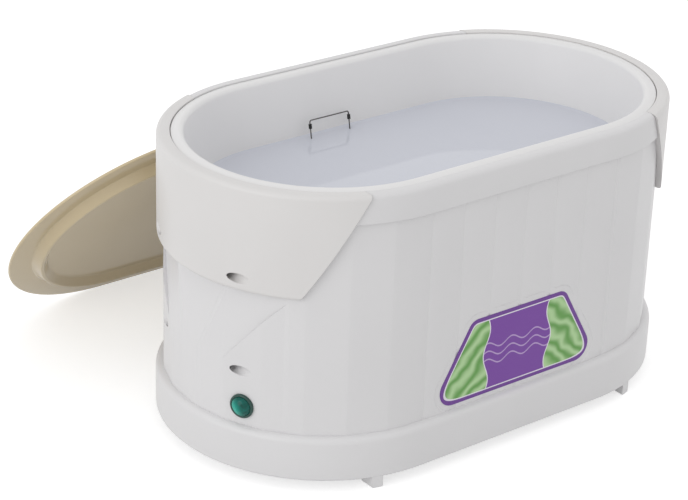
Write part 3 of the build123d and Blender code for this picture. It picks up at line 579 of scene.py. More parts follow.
# Hollows: each point of the wall sinks by how near it is to a meeting of two panels
def grooveTree():
    tree, given, output = newTree("wall grooves", (
        ("Groove depth", "NodeSocketFloat"), ("Groove reach", "NodeSocketFloat"),
        ("Shoulder depth", "NodeSocketFloat"), ("Shoulder reach", "NodeSocketFloat")))
    gap = addNode(tree, "GeometryNodeInputNamedAttribute", {"data_type": "FLOAT"}, {
        "Name": "fromMeeting"})
    out = addNode(tree, "GeometryNodeInputNamedAttribute", {"data_type": "FLOAT_VECTOR"}, {
        "Name": "outward"})
    sinks = []
    for depth, reach in (("Groove depth", "Groove reach"), ("Shoulder depth", "Shoulder reach")):
        sink = gap
        for operation, value in (
                ("DIVIDE", given.outputs[reach]), ("MULTIPLY", -1.0),
                ("EXPONENT", 0.0), ("MULTIPLY", given.outputs[depth])):
            sink = addNode(tree, "ShaderNodeMath", {"operation": operation}, {0: sink, 1: value})
        sinks.append(sink)
    both = addNode(tree, "ShaderNodeMath", {"operation": "ADD"}, dict(enumerate(sinks)))
    inwards = addNode(tree, "ShaderNodeMath", {"operation": "MULTIPLY"}, {0: both, 1: -mm})
    offset = addNode(tree, "ShaderNodeVectorMath", {"operation": "SCALE"}, {0: out, "Scale": inwards})
    moved = addNode(tree, "GeometryNodeSetPosition", inputs={
        "Geometry": given.outputs["Geometry"], "Offset": offset})
    closeTree(tree, output, moved, housingPlastic)
    return tree


# Scoop under each collar: a floor between two creases, and a slanting side beyond each crease
scoop = {
    "top": 144.0,
    "bottom": 86.0,
    "depth": 7.0,
    "creaseTop": 30.0,  # from the middle to the crease
    "creaseBottom": 9.0,
    "sideTop": 43.0,  # degrees from the middle to the side's edge
    "sideBottom": 16.0,
    "creaseSoft": 1.0,
    "fluteRadius": 4.0,
    "fluteLift": 3.6,
    "fluteEnds": (2.0, 0.5),
    "reach": 150.0,
    "linerWall": 3.2,
    "linerMargin": 4.0,
}


def wallAt(y):
    return sqrt(bath["wallRadius"] ** 2 - y ** 2)


def scoopTool(deeper, wider):  # what a scoop takes away at the +X end, or its liner where grown
    high = scoop["top"] + wider
    low = scoop["bottom"] - wider
    sideTop, sideBottom = radians(scoop["sideTop"]), radians(scoop["sideBottom"])
    radius = bath["wallRadius"]
    floor = wallAt(scoop["creaseTop"]) - scoop["depth"] - deeper
    near = [
        (radius * cos(sideTop) - deeper, radius * sin(sideTop) + wider, high),
        (floor, scoop["creaseTop"], high),
        (wallAt(scoop["creaseBottom"]) - deeper, scoop["creaseBottom"], low),
        (radius * cos(sideBottom) - deeper, radius * sin(sideBottom) + wider, low),
    ]
    ends = [(scoop["reach"], y, z) for x, y, z in (near[0], near[3])]
    bm = bmesh.new()
    right, left, farRight, farLeft = [
        [bm.verts.new(Vector((endX + x, turn * y, z)) * mm) for x, y, z in corners]
        for corners, turn in ((near, 1), (near, -1), (ends, 1), (ends, -1))]
    for side, far in ((right, farRight), (left, farLeft)):
        bm.faces.new((side[0], side[1], side[3]))
        bm.faces.new((side[1], side[2], side[3]))
        bm.faces.new((side[0], side[3], far[1], far[0]))
    bm.faces.new((right[1], left[1], left[2], right[2]))
    bm.faces.new((farRight[0], farRight[1], farLeft[1], farLeft[0]))
    bm.faces.new((right[0], farRight[0], farLeft[0], left[0], left[1], right[1]))
    bm.faces.new((right[3], right[2], left[2], left[3], farLeft[1], farRight[1]))
    bmesh.ops.recalc_face_normals(bm, faces=bm.faces)
    if not wider:
        soft = [bm.edges.get((side[1], side[2])) for side in (right, left)]
        width = scoop["creaseSoft"] * mm
        bmesh.ops.bevel(bm, geom=soft, offset=width, segments=4, profile=0.5, affect="EDGES")
    return fromMesh("scoopTool", bm)


def creaseRod(turn):  # a rod along a crease, which leaves a shallow flute in it
    lift = endX + scoop["fluteLift"]
    highY, lowY = scoop["creaseTop"], scoop["creaseBottom"]
    high = Vector((wallAt(highY) - scoop["depth"] + lift, turn * highY, scoop["top"]))
    low = Vector((wallAt(lowY) + lift, turn * lowY, scoop["bottom"]))
    radius, (start, stop) = scoop["fluteRadius"], scoop["fluteEnds"]
    section = [(radius, start), (radius, (high - low).length - stop)]
    return turned("creaseRod", section, low, high - low, 64)


# Screw bores, which run along Y: their places are (distance from the end's centre, height)
bores = {
    "radius": 3.5,
    "wall": 1.2,
    "floor": 31.0,
    "floorThickness": 2.6,
    "reach": 116.0,
    "clearance": 0.3,
    "collar": (107.3, 153.6),
    "base": (103.1, 82.0),
}
cupRadius = bores["radius"] + bores["wall"]
cupEnd = bores["floor"] - bores["floorThickness"]


def sideRod(radius, start, place, side):  # a rod from inside to the back (1) or to the front (-1)
    x, z = place
    section = [(radius, start), (radius, bores["reach"])]
    return turned("sideRod", section, (endX + x, 0, z), (0, side, 0), 40)


# The collars' slanting edges, seen from the front: where they meet the top, and their lean
collarEdge = {
    "topX": 43.5,
    "lean": 0.516,
    "above": 10.0,
    "low": 134.0,
    "far": 140.0,
}


def slantWedge(margin):  # all that lies beyond the slanting edges of a collar
    lean, above, low, far = [collarEdge[key] for key in ("lean", "above", "low", "far")]
    high = top + above
    highX = endX + collarEdge["topX"] - lean * above - margin
    lowX = highX + lean * (high - low)
    outline = [(highX, high), (endX + far, high), (endX + far, low), (lowX, low)]
    return skin("slantWedge", [[(x, y, z) for x, z in outline] for y in (-far, far)])


def plainBlock(radius, low, high):
    return skin("plainBlock", [roundEnds(radius, low), roundEnds(radius, high)])


inside = {  # the hollow of the housing, which keeps the liners and cups from showing outside
    "radius": 112.0,
    "low": 60.0,
    "high": 160.0,
}


def keptInside(piece):
    return combine(piece, plainBlock(inside["radius"], inside["low"], inside["high"]), "INTERSECT")


# Outline of the label and of the recess that it lies in, which share their slanting sides
label = {
    "centre": 4.0,
    "low": 44.5,
    "high": 106.0,
    "halfLow": 78.5,
    "halfHigh": 43.0,
    "roundLow": 12.0,
    "roundHigh": 9.0,
    "rest": -0.68,  # how far the plate's back stands out from the wall
    "recessSides": ((4.5, -0.7), (5.6, 0.1), (7.0, 3.0)),  # (beyond the label, out from the wall)
    "thickness": 0.3,
    "edge": 0.08,
}


def labelOutline(border):
    slant = atan2(label["high"] - label["low"], label["halfLow"] - label["halfHigh"])
    shift = border / sin(slant)
    lean = border / tan(slant)
    low, high = label["low"] - border, label["high"] + border
    halfLow = label["halfLow"] + shift + lean
    halfHigh = label["halfHigh"] + shift - lean
    corners = [(-halfLow, low), (halfLow, low), (halfHigh, high), (-halfHigh, high)]
    radii = [label["roundLow"] + border] * 2 + [label["roundHigh"] + border] * 2
    return [(label["centre"] + x, z) for x, z in rounded(corners, radii, 12)]


def labelStack(name, levels):  # a loop of the outline for each (beyond the label, out from the wall)
    return skin(name, [
        [(x, -bath["wallRadius"] - out, z) for x, z in labelOutline(border)] for border, out in levels])


# Where the lamp sits: on the flat panel that faces this many degrees from -X
lampSeat = {
    "angle": 24.7,
    "shift": 0.65,
    "height": 55.5,
    "hole": 6.5,
    "holeDepth": 10.0,
}


def lampPlace():
    angle = radians(lampSeat["angle"])
    out = Vector((-cos(angle), -sin(angle), 0))
    sideways = Vector((-out.y, out.x, 0))
    flat = bath["wallRadius"] * cos(pi / 2 / housing["endPanels"])
    return Vector((-endX, 0, lampSeat["height"])) + out * flat + sideways * lampSeat["shift"], out


# Appliance inlet at the +X end: all distances are from the end's centre
inlet = {
    "height": 64.0,
    "pad": (38.0, 29.0, 1.5),
    "padLevels": (109.0, 114.0, 114.6),
    "opening": (27.0, 20.0, 0.5),
    "openingLevels": (100.0, 130.0),
    "face": 114.7,
    "frame": (31.4, 24.4),
    "frameThickness": 2.0,
    "frameRound": 3.0,
    "frameEdge": 0.4,
    "frameRim": 0.6,
    "overlap": 0.5,
    "body": (26.6, 19.6, 0.5),
    "bodyDepth": 22.0,
    "socket": (24.0, 16.4),
    "socketDepth": 17.0,
    "socketRound": 0.6,
    "socketPast": 5.0,
    "corner": 5.0,
    "pins": ((-7.0, -2.2), (7.0, -2.2), (0.0, 2.2)),
    "pin": (2.0, 4.0),
    "pinRound": 0.25,
    "pinGap": 0.02,
    "pinLength": 11.0,
    "pinTip": (1.2, 0.5),  # (its length, how much narrower it ends)
}


seat = {  # what the collars take from the rim
    "inside": 107.8,
    "band": 114.0,
    "outside": 136.0,
    "above": 5.0,
    "clearance": 0.3,
}


def rimBand():
    inner, ledge = housing["bandInside"], housing["ledgeTop"]
    under = ledge - housing["ledgeThickness"]
    return around("rim", [
        (inner, housing["bandBottom"]), (bath["rimRadius"], housing["bandBottom"]),
        (bath["rimRadius"], top), (housing["rimInside"], top),
        (housing["rimInside"], ledge), (housing["ledgeInside"], ledge),
        (housing["ledgeInside"], under), (inner, under)], housing["bandEdges"])


def collarSeat():
    low, ledge, high = scoop["top"], housing["ledgeTop"], top + seat["above"]
    ring = around("seat", [
        (seat["band"], low), (seat["outside"], low), (seat["outside"], high),
        (seat["inside"], high), (seat["inside"], ledge), (seat["band"], ledge)], [0] * 6)
    return combine(ring, slantWedge(seat["clearance"]), "INTERSECT")


def makeHousing():
    wall = runTree(panelledWall(), grooveTree(), {
        "Groove depth": housing["grooveDepth"], "Groove reach": housing["grooveReach"],
        "Shoulder depth": housing["shoulderDepth"], "Shoulder reach": housing["shoulderReach"]})
    combine(wall, rimBand(), "UNION")
    changes = [
        (collarSeat(), "DIFFERENCE"),
        (keptInside(scoopTool(scoop["linerWall"], scoop["linerMargin"])), "UNION"),
        (scoopTool(0, 0), "DIFFERENCE"),
        (creaseRod(1), "DIFFERENCE"),
        (creaseRod(-1), "DIFFERENCE")]
    gap = bores["clearance"]
    for side in (1, -1):
        changes += [
            (keptInside(sideRod(cupRadius, cupEnd, bores["base"], side)), "UNION"),
            (sideRod(bores["radius"], bores["floor"], bores["base"], side), "DIFFERENCE"),
            (sideRod(cupRadius + gap, cupEnd - gap, bores["collar"], side), "DIFFERENCE")]
    for tool, how in changes:
        combine(wall, otherEnd(tool), how)
        combine(wall, tool, how)
    hole, depth = lampSeat["hole"], lampSeat["holeDepth"]
    combine(wall, turned("lampHole", [(hole, -depth), (hole, depth)], *lampPlace()), "DIFFERENCE")
    pad = alongX("pad", roundRect(*inlet["pad"], inlet["height"]), inlet["padLevels"])
    combine(wall, pad, "UNION")
    opening = alongX("opening", roundRect(*inlet["opening"], inlet["height"]), inlet["openingLevels"])
    combine(wall, opening, "DIFFERENCE")
    combine(wall, labelStack("recess", label["recessSides"]), "DIFFERENCE")
    return finishPiece(wall, "housing", housingPlastic, 24)


housingPiece = makeHousing()
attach(housingPiece, "bath")
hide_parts("housing_shell")
print("housing made:", len(housingPiece.data.polygons), "faces")


# Collars: an apron hooked over the rim at each end, with the cups of its screws
collar = {
    "inner": 112.6,
    "outer": 117.8,
    "bottom": 144.0,
    "ledgeGap": 0.1,
    "cupMargin": 1.0,
    "edges": (0.3, 3.2, 3.5, 0.4, 0.2, 0),  # radius at each corner of the section
}


def makeCollar():
    under = housing["ledgeTop"] + collar["ledgeGap"]
    apron = around("apron", [
        (collar["inner"], collar["bottom"]), (collar["outer"], collar["bottom"]),
        (collar["outer"], top), (housing["rimInside"], top),
        (housing["rimInside"], under), (collar["inner"], under)], collar["edges"])
    combine(apron, slantWedge(0), "INTERSECT")
    fitAgainst(apron, housingPiece)
    for side in (1, -1):
        cup = sideRod(cupRadius, cupEnd, bores["collar"], side)
        combine(cup, plainBlock(collar["outer"] - collar["cupMargin"], collar["bottom"], top), "INTERSECT")
        combine(apron, cup, "UNION")
        combine(apron, sideRod(bores["radius"], bores["floor"], bores["collar"], side), "DIFFERENCE")
    return apron


rightCollar = makeCollar()
leftCollar = otherEnd(rightCollar)
for piece, side, name in (
        (rightCollar, "right_collar", "rightCollarApron"), (leftCollar, "left_collar", "leftCollarApron")):
    finishPiece(piece, name, collarPlastic, 24)
    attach(piece, "bath")
    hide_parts(side)
print("collars made")


# Base: the plinth band with its rounded shoulder, and four feet under its edge
base = {
    "middle": 60.0,  # the flat floor fills up from this loop inwards
    "bottom": 8.0,
    "floor": 11.0,
    "plinth": 119.0,
    "plinthTop": 41.0,
    "chamfer": 1.2,
    "lip": 111.6,
    "edges": (0, 0.8, 0.8, 4.8, 0, 1.5, 0),  # radius at each corner of the section
    "footX": 118.0,
    "footPast": 1.0,  # beyond the plinth to each side, before it is trimmed
    "footTop": 10.0,
    "footSize": (8.0, 15.0),
    "footTip": (6.88, 13.8),
    "footRound": 1.0,
    "tipRound": 0.6,
    "tipHeight": 0.8,
    "footInset": 0.3,
}


def makeFoot(x, side):
    outerY = sqrt(base["plinth"] ** 2 - (base["footX"] - endX) ** 2)
    y = side * (outerY - base["footSize"][1] / 2 + base["footPast"])
    high = base["footTop"]
    tip = roundRect(*base["footTip"], base["tipRound"], steps=3)
    full = roundRect(*base["footSize"], base["footRound"], steps=3)
    foot = skin("foot", [
        [(x + across, y + along, height) for across, along in outline]
        for outline, height in ((tip, 0.0), (full, base["tipHeight"]), (full, high))])
    return combine(foot, plainBlock(base["plinth"] - base["footInset"], 0, high), "INTERSECT")


def makeBase():
    middle, low, high = base["middle"], base["bottom"], base["plinthTop"]
    pan = around("pan", [
        (middle, low), (base["plinth"] - base["chamfer"], low),
        (base["plinth"], low + base["chamfer"]), (base["plinth"], high),
        (base["lip"], high), (base["lip"], base["floor"]), (middle, base["floor"])],
        base["edges"], ring=False, steps=8)
    fitAgainst(pan, housingPiece)
    for x in (-base["footX"], base["footX"]):
        for side in (-1, 1):
            combine(pan, makeFoot(x, side), "UNION")
    return finishPiece(pan, "basePlinth", housingPlastic, 24)


basePiece = makeBase()
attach(basePiece, "bath")
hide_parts("base_pan")
print("base made")


# Tank: rolled lip, leaning wall and rounded floor edge
tank = {
    "middle": 50.0,
    "mouth": 98.8,
    "lean": 0.132,
    "floor": 85.0,
    "floorRound": 18.0,
    "lipRound": 3.6,
    "flange": 107.7,
    "flangeFrom": 102.6,
    "flangeDrop": 1.0,
    "flangeBend": 2.0,
    "flangeEdge": 0.3,
    "innerBend": 1.2,
    "thickness": 1.8,
}


def tankInside(height):
    return tank["mouth"] - tank["lean"] * (top - height)


def makeTank():
    thick, middle, floor = tank["thickness"], tank["middle"], tank["floor"]
    skinGap = thick * sqrt(1 + tank["lean"] ** 2)
    under, below = floor - thick, top - thick
    shell = around("tankShell", [
        (middle, floor), (tankInside(floor), floor), (tank["mouth"], top), (tank["flangeFrom"], top),
        (tank["flange"], top - tank["flangeDrop"]), (tank["flange"], below),
        (tankInside(below) + skinGap, below), (tankInside(under) + skinGap, under), (middle, under)],
        [0, tank["floorRound"], tank["lipRound"], tank["flangeBend"], tank["flangeEdge"],
         tank["flangeEdge"], tank["innerBend"], tank["floorRound"] + thick, 0], ring=False, steps=10)
    return finishPiece(shell, "tankShell", tankEnamel, 24)


tankPiece = makeTank()
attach(tankPiece, "bath")
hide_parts("tank")


# Wax: fills the tank to its level and climbs the wall a little where it wets it
wax = {
    "level": 171.5,
    "climb": 0.9,
    "climbReach": 1.1,
    "climbFrom": (0.1, 0.5, 1.0, 1.7, 2.6, 4.0, 6.0),
    "overlap": 0.3,  # into the tank's wall, so that no gap shows
}


def makeWax():
    level, climb, over, floor = wax["level"], wax["climb"], wax["overlap"], tank["floor"]
    outline = rounded([
        (tank["middle"], floor - over), (tankInside(floor) + over, floor - over),
        (tankInside(level) + over, level)], [0, tank["floorRound"], 0], 10)
    outline[-1] = (tankInside(level + climb) + over, level + climb)
    for gap in wax["climbFrom"]:
        outline.append((tankInside(level) - gap, level + climb * exp(-gap / wax["climbReach"])))
    outline.append((tank["middle"], level))
    body = skin("moltenWax", [roundEnds(radius, height) for radius, height in outline])
    return finishPiece(body, "moltenWax", waxLiquid, 60)


waxPiece = makeWax()
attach(waxPiece, "bath")
print("tank and wax made")


# Lid: one formed sheet with a ring that drops into the tank, leaning back on its edge
lid = {
    "middle": 45.0,
    "radius": 115.5,
    "thickness": 2.4,
    "ring": 96.8,
    "depth": 7.6,
    "crestOut": 92.4,
    "crestIn": 90.0,
    "panel": 84.3,
    "panelDepth": 2.2,
    "ringThinner": 1.3,
    "panelWider": 1.0,
    "edges": (0, 3.0, 1.0, 1.0, 1.4, 1.1, 1.1, 2.4, 0.5, 2.0, 0),  # radius at each corner of the section
    "tilt": 51.4,
    "x": -28.5,
    "gap": 0.3,
}


def makeLid():
    thick, depth, panelDepth, middle = lid["thickness"], lid["depth"], lid["panelDepth"], lid["middle"]
    groove = (lid["crestOut"] + lid["crestIn"]) / 2
    innerRing, innerPanel = lid["ring"] - lid["ringThinner"], lid["panel"] + lid["panelWider"]
    sheet = around("lidSheet", [
        (middle, -panelDepth), (lid["panel"], -panelDepth),
        (lid["crestIn"], -depth), (lid["crestOut"], -depth),
        (lid["ring"], 0), (lid["radius"], 0), (lid["radius"], thick), (innerRing, thick),
        (groove, thick - depth), (innerPanel, thick - panelDepth), (middle, thick - panelDepth)],
        lid["edges"], ring=False, steps=6)
    centreY = bath["wallRadius"] + lid["gap"] + lid["radius"] * cos(radians(lid["tilt"]))
    centreZ = lid["radius"] * sin(radians(lid["tilt"]))
    place = Matrix.Translation(Vector((lid["x"], centreY, centreZ)) * mm)
    sheet.data.transform(place @ Matrix.Rotation(radians(-lid["tilt"]), 4, "X"))
    return finishPiece(sheet, "lidSheet", lidPlastic, 40)


lidPiece = makeLid()
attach(lidPiece, "lid")
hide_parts("lid")
print("lid made")


# Pilot lamp: a bezel with a rolled edge and a domed lens
lamp = {
    "bezel": 9.0,
    "bezelEdge": ((0.2, 0.0), (0.0, 0.25), (0.0, 1.2), (0.15, 1.6), (0.5, 1.9), (0.9, 2.0)),
    "bezelWell": ((0.4, 2.0), (0.1, 1.8), (0.1, 1.1)),  # (outside the lens, height)
    "bore": 3.0,
    "barrel": 6.3,
    "barrelDepth": 12.0,
    "lens": 7.2,
    "lensFoot": 1.12,
    "domeFoot": 1.98,
    "domeHeight": 3.4,
    "domeSteps": 14,
}


def makeLamp():
    centre, out = lampPlace()
    bore, barrel, depth = lamp["bore"], lamp["barrel"], lamp["barrelDepth"]
    section = [(bore, -depth), (barrel, -depth), (barrel, 0)]
    section += [(lamp["bezel"] - inwards, height) for inwards, height in lamp["bezelEdge"]]
    section += [(lamp["lens"] + outwards, height) for outwards, height in lamp["bezelWell"]]
    section.append((bore, lamp["bezelWell"][-1][1]))
    bezel = turned("lampBezel", section, centre, out, 64)
    rise = lamp["domeHeight"]
    ball = (lamp["lens"] ** 2 + rise ** 2) / (2 * rise)
    spread = atan2(lamp["lens"], ball - rise)
    dome = [(lamp["lens"], lamp["lensFoot"])]
    for step in range(lamp["domeSteps"]):
        angle = spread * (1 - step / lamp["domeSteps"])
        dome.append((ball * sin(angle), lamp["domeFoot"] + ball * cos(angle) - ball + rise))
    lens = turned("lampLens", dome, centre, out, 64)
    return finishPiece(bezel, "lampBezel", bezelBlack, 40), finishPiece(lens, "lampLens", lampAcrylic, 60)


bezelPiece, lensPiece = makeLamp()
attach(bezelPiece, "bath")
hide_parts("pilot_body")
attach(lensPiece, "bath")
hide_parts("pilot_lens")


# Label: a thin printed plate in the recess
def makeLabel():
    rest, edge = label["rest"], label["edge"]
    face = rest + label["thickness"]
    plate = labelStack("frontLabel", [(0, rest), (0, face - edge), (-edge, face)])
    return finishPiece(plate, "frontLabel", labelPrint, 40)


labelPiece = makeLabel()
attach(labelPiece, "bath")
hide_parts("front_label")
print("lamp and label made")


# Grille handles: drawn wire bent round at the top, with crimped sleeves
handle = {
    "centre": -14.0,
    "half": 18.0,
    "side": ((69.98, 94.1), (70.98, 101.1), (87.98, 185.0)),
    "wire": 0.5,
    "bend": 1.0,
    "sleeveRadius": 1.25,
    "sleeveLength": 3.6,
    "sleeveDrop": 4.4,
}


def wireTree(name, material):  # the path with rounded bends, carrying a round section
    tree, given, output = newTree(name, (("Bend", "NodeSocketFloat"), ("Section", "NodeSocketFloat")))
    bent = addNode(tree, "GeometryNodeFilletCurve", inputs={
        "Curve": given.outputs["Geometry"], "Radius": given.outputs["Bend"]})
    for socket in bent.inputs:
        if socket.name == "Mode":
            socket.default_value = "Poly"
        if socket.name == "Count":
            socket.default_value = 8
    disc = addNode(tree, "GeometryNodeCurvePrimitiveCircle", inputs={
        "Resolution": 16, "Radius": given.outputs["Section"]})
    tube = addNode(tree, "GeometryNodeCurveToMesh", inputs={
        "Curve": bent, "Profile Curve": disc, "Fill Caps": True})
    closeTree(tree, output, tube, material)
    return tree


def pathCurve(name, runs):
    data = bpy.data.curves.new(name, "CURVE")
    data.dimensions = "3D"
    for points in runs:
        spline = data.splines.new("POLY")
        spline.points.add(len(points) - 1)
        for spot, point in zip(spline.points, points):
            spot.co = (*[value * mm for value in point], 1.0)
    curve = bpy.data.objects.new(name, data)
    scene.collection.objects.link(curve)
    return curve


def meshFrom(curve, tree, values, name):  # runs a tree on a curve and keeps the mesh in a new object
    giveTree(curve, tree, values)
    graph = bpy.context.evaluated_depsgraph_get()
    for instance in graph.object_instances:
        if instance.object.original == curve and instance.object.type == "MESH":
            mesh = bpy.data.meshes.new_from_object(instance.object)
    bpy.data.objects.remove(curve)
    return newPiece(name, mesh)


def handleRuns():
    runs = []
    for face in (1, -1):
        left = [(handle["centre"] - handle["half"], face * y, z) for y, z in handle["side"]]
        right = [(handle["centre"] + handle["half"], face * y, z) for y, z in reversed(handle["side"])]
        runs.append(left + right)
    return runs


def sleeveRuns():
    (lowY, lowZ), (highY, highZ) = handle["side"][1:]
    slope = Vector((highY - lowY, highZ - lowZ)).normalized()
    drop, half = handle["sleeveDrop"], handle["sleeveLength"] / 2
    ends = [(highY - slope.x * away, highZ - slope.y * away) for away in (drop + half, drop - half)]
    sides = (handle["centre"] - handle["half"], handle["centre"] + handle["half"])
    return [[(x, face * y, z) for y, z in ends] for face in (1, -1) for x in sides]


handlePiece = meshFrom(pathCurve("handlePath", handleRuns()), wireTree("handle wire", handleSteel), {
    "Bend": handle["bend"] * mm, "Section": handle["wire"] * mm}, "handleWire")
finishPiece(handlePiece, "handleWire", handleSteel, 50)
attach(handlePiece, "grille")
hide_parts("grille_handles")
sleevePiece = meshFrom(pathCurve("sleevePath", sleeveRuns()), wireTree("crimp sleeves", ferruleBlack), {
    "Bend": 0.0, "Section": handle["sleeveRadius"] * mm}, "crimpSleeves")
finishPiece(sleevePiece, "crimpSleeves", ferruleBlack, 50)
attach(sleevePiece, "grille")
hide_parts("handle_ferrules")
print("handles made")


# Screws: one turned screw with a crossed head, set by its tree at the floor of each bore
screw = {
    "head": 2.9,
    "headHeight": 2.0,
    "crown": 0.3,
    "headRound": ((1.0, 0.9), (0.94, 1.3), (0.8, 1.7), (0.5, 1.95)),  # (share of the radius, height)
    "shank": 1.5,
    "root": 1.15,
    "pitch": 1.1,
    "turns": 7,
    "tip": ((0.2, 0.0), (0.7, 1.0)),  # (radius, above the lower end)
    "threadFrom": 1.2,
    "neck": (0.8, 0.6),  # under the head: the last root and the plain shank
    "length": 10.0,
    "cross": ((0.8, 3.6), (3.6, 0.8)),
    "crossDepth": 1.1,
}


def screwTree():
    tree, given, output = newTree("screws in their bores", (
        ("Screw", "NodeSocketObject"), ("Scale", "NodeSocketFloat")))
    model = addNode(tree, "GeometryNodeObjectInfo", inputs={
        "Object": given.outputs["Screw"], "As Instance": True})
    out = addNode(tree, "GeometryNodeInputNamedAttribute", {"data_type": "FLOAT_VECTOR"}, {
        "Name": "outward"})
    turn = addNode(tree, "FunctionNodeAlignRotationToVector", {"axis": "Z"}, {"Vector": out})
    placed = addNode(tree, "GeometryNodeInstanceOnPoints", inputs={
        "Points": given.outputs["Geometry"], "Instance": model.outputs["Geometry"],
        "Rotation": turn, "Scale": given.outputs["Scale"]})
    closeTree(tree, output, placed, blackZinc)
    return tree


def makeScrew():
    root, shank, head, high = screw["root"], screw["shank"], screw["head"], screw["headHeight"]
    low, pitch = -screw["length"], screw["pitch"]
    section = [(radius, low + height) for radius, height in screw["tip"]]
    for step in range(screw["turns"]):
        height = low + screw["threadFrom"] + step * pitch
        section += [(root, height), (shank, height + pitch / 2)]
    section += [(root, -screw["neck"][0]), (shank, -screw["neck"][1]), (shank, 0.0), (head, 0.0)]
    section += [(head * share, height) for share, height in screw["headRound"]]
    section.append((screw["crown"], high))
    model = turned("screw", section, (0, 0, 0), (0, 0, 1), 32)
    for size in screw["cross"]:
        outline = roundRect(*size, 0)
        levels = (high - screw["crossDepth"], high + 1)
        combine(model, skin("slot", [[(x, y, z) for x, y in outline] for z in levels]), "DIFFERENCE")
    return model


def screwSeats(name, place):
    x, z = place
    bm = bmesh.new()
    outward = bm.verts.layers.float_vector.new("outward")
    for end in (1, -1):
        for side in (1, -1):
            vert = bm.verts.new(Vector((end * (endX + x), side * bores["floor"], z)) * mm)
            vert[outward] = (0, side, 0)
    mesh = bpy.data.meshes.new(name)
    bm.to_mesh(mesh)
    bm.free()
    return newPiece(name, mesh)


screwModel = makeScrew()
for name, node in (("collar", "collar_screws"), ("base", "base_screws")):
    seats = screwSeats(name + "Screws", bores[name])
    screws = runTree(seats, screwTree(), {"Screw": screwModel, "Scale": 1.0})
    finishPiece(screws, name + "Screws", blackZinc, 30)
    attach(screws, "bath")
    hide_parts(node)
bpy.data.objects.remove(screwModel)
print("screws made")


# Grille tray: a plate with soft edges, slots on both sides of a middle rib, and four feet
grille = {
    "middle": 30.0,
    "radius": 71.98,
    "low": 91.0,
    "thickness": 3.0,
    "edge": 0.9,
    "rim": 8.0,
    "slotWidth": 10.0,
    "slotPitch": 20.0,
    "rib": 6.0,
    "foot": 10.0,
    "footRound": 1.5,
    "footHeight": 6.0,
    "footOverlap": 0.5,
    "footPlace": (10.0, 36.0),  # (from the end's centre towards the middle, to each side)
}


def slotTree():  # a rod of the slot's outline along each line
    tree, given, output = newTree("grille slots", (
        ("Slot width", "NodeSocketFloat"), ("Cut height", "NodeSocketFloat")))
    outline = addNode(tree, "GeometryNodeCurvePrimitiveQuadrilateral", inputs={
        "Width": given.outputs["Slot width"], "Height": given.outputs["Cut height"]})
    cut = addNode(tree, "GeometryNodeCurveToMesh", inputs={
        "Curve": given.outputs["Geometry"], "Profile Curve": outline, "Fill Caps": True})
    closeTree(tree, output, cut, grillePlastic)
    return tree


def slotRuns():
    inner = grille["radius"] - grille["rim"]
    count = int((endX + inner) / grille["slotPitch"])
    height = grille["low"] + grille["thickness"] / 2
    runs = []
    for step in range(-count, count + 1):
        x = step * grille["slotPitch"]
        pastEnd = max(0, abs(x) + grille["slotWidth"] / 2 - endX)
        half = sqrt(max(0, inner ** 2 - pastEnd ** 2))
        if half > grille["slotWidth"]:
            for side in (1, -1):
                runs.append([(x, side * grille["rib"] / 2, height), (x, side * half, height)])
    return runs


def makeGrille():
    middle, radius, edge = grille["middle"], grille["radius"], grille["edge"]
    low, high = grille["low"], grille["low"] + grille["thickness"]
    plate = around("plate", [(middle, low), (radius, low), (radius, high), (middle, high)],
                   [0, edge, edge, 0], ring=False)
    slots = meshFrom(pathCurve("slotPath", slotRuns()), slotTree(), {
        "Slot width": grille["slotWidth"] * mm, "Cut height": 3 * grille["thickness"] * mm}, "slots")
    combine(plate, slots, "DIFFERENCE")
    outline = roundRect(grille["foot"], grille["foot"], grille["footRound"])
    inwards, sideways = grille["footPlace"]
    for x in (inwards - endX, endX - inwards):
        for y in (-sideways, sideways):
            foot = skin("foot", [
                [(x + across, y + along, z) for across, along in outline]
                for z in (low - grille["footHeight"], low + grille["footOverlap"])])
            combine(plate, foot, "UNION")
    return finishPiece(plate, "grillePlate", grillePlastic, 30)


grillePiece = makeGrille()
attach(grillePiece, "grille")
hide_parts("grille_tray")
print("grille made")


# Inlet: a framed socket with two slanted corners, and three flat pins with eased tips
def makeInlet():
    height, face = inlet["height"], inlet["face"]
    front = face + inlet["frameThickness"]
    wide, tall = inlet["frame"]
    corner, edge, over = inlet["frameRound"], inlet["frameEdge"], inlet["overlap"]
    frame = alongX("inletFrame", roundRect(wide, tall, corner, height, 8), (face, front - over))
    rimOutline = roundRect(wide - 2 * edge, tall - 2 * edge, corner - edge, height, 8)
    combine(frame, alongX("inletRim", rimOutline, (front - inlet["frameRim"], front)), "UNION")
    bodyOutline = roundRect(*inlet["body"], height)
    combine(frame, alongX("inletBody", bodyOutline, (face - inlet["bodyDepth"], face + over)), "UNION")
    wide, tall = inlet["socket"]
    half, low, high, corner = wide / 2, height - tall / 2, height + tall / 2, inlet["corner"]
    outline = rounded([
        (-half, low), (half, low), (half, high - corner), (half - corner, high),
        (corner - half, high), (-half, high - corner)], [inlet["socketRound"]] * 6)
    depths = (front - inlet["socketDepth"], front + inlet["socketPast"])
    combine(frame, alongX("socket", outline, depths), "DIFFERENCE")
    return finishPiece(frame, "inletFrame", darkPhenolic, 30)


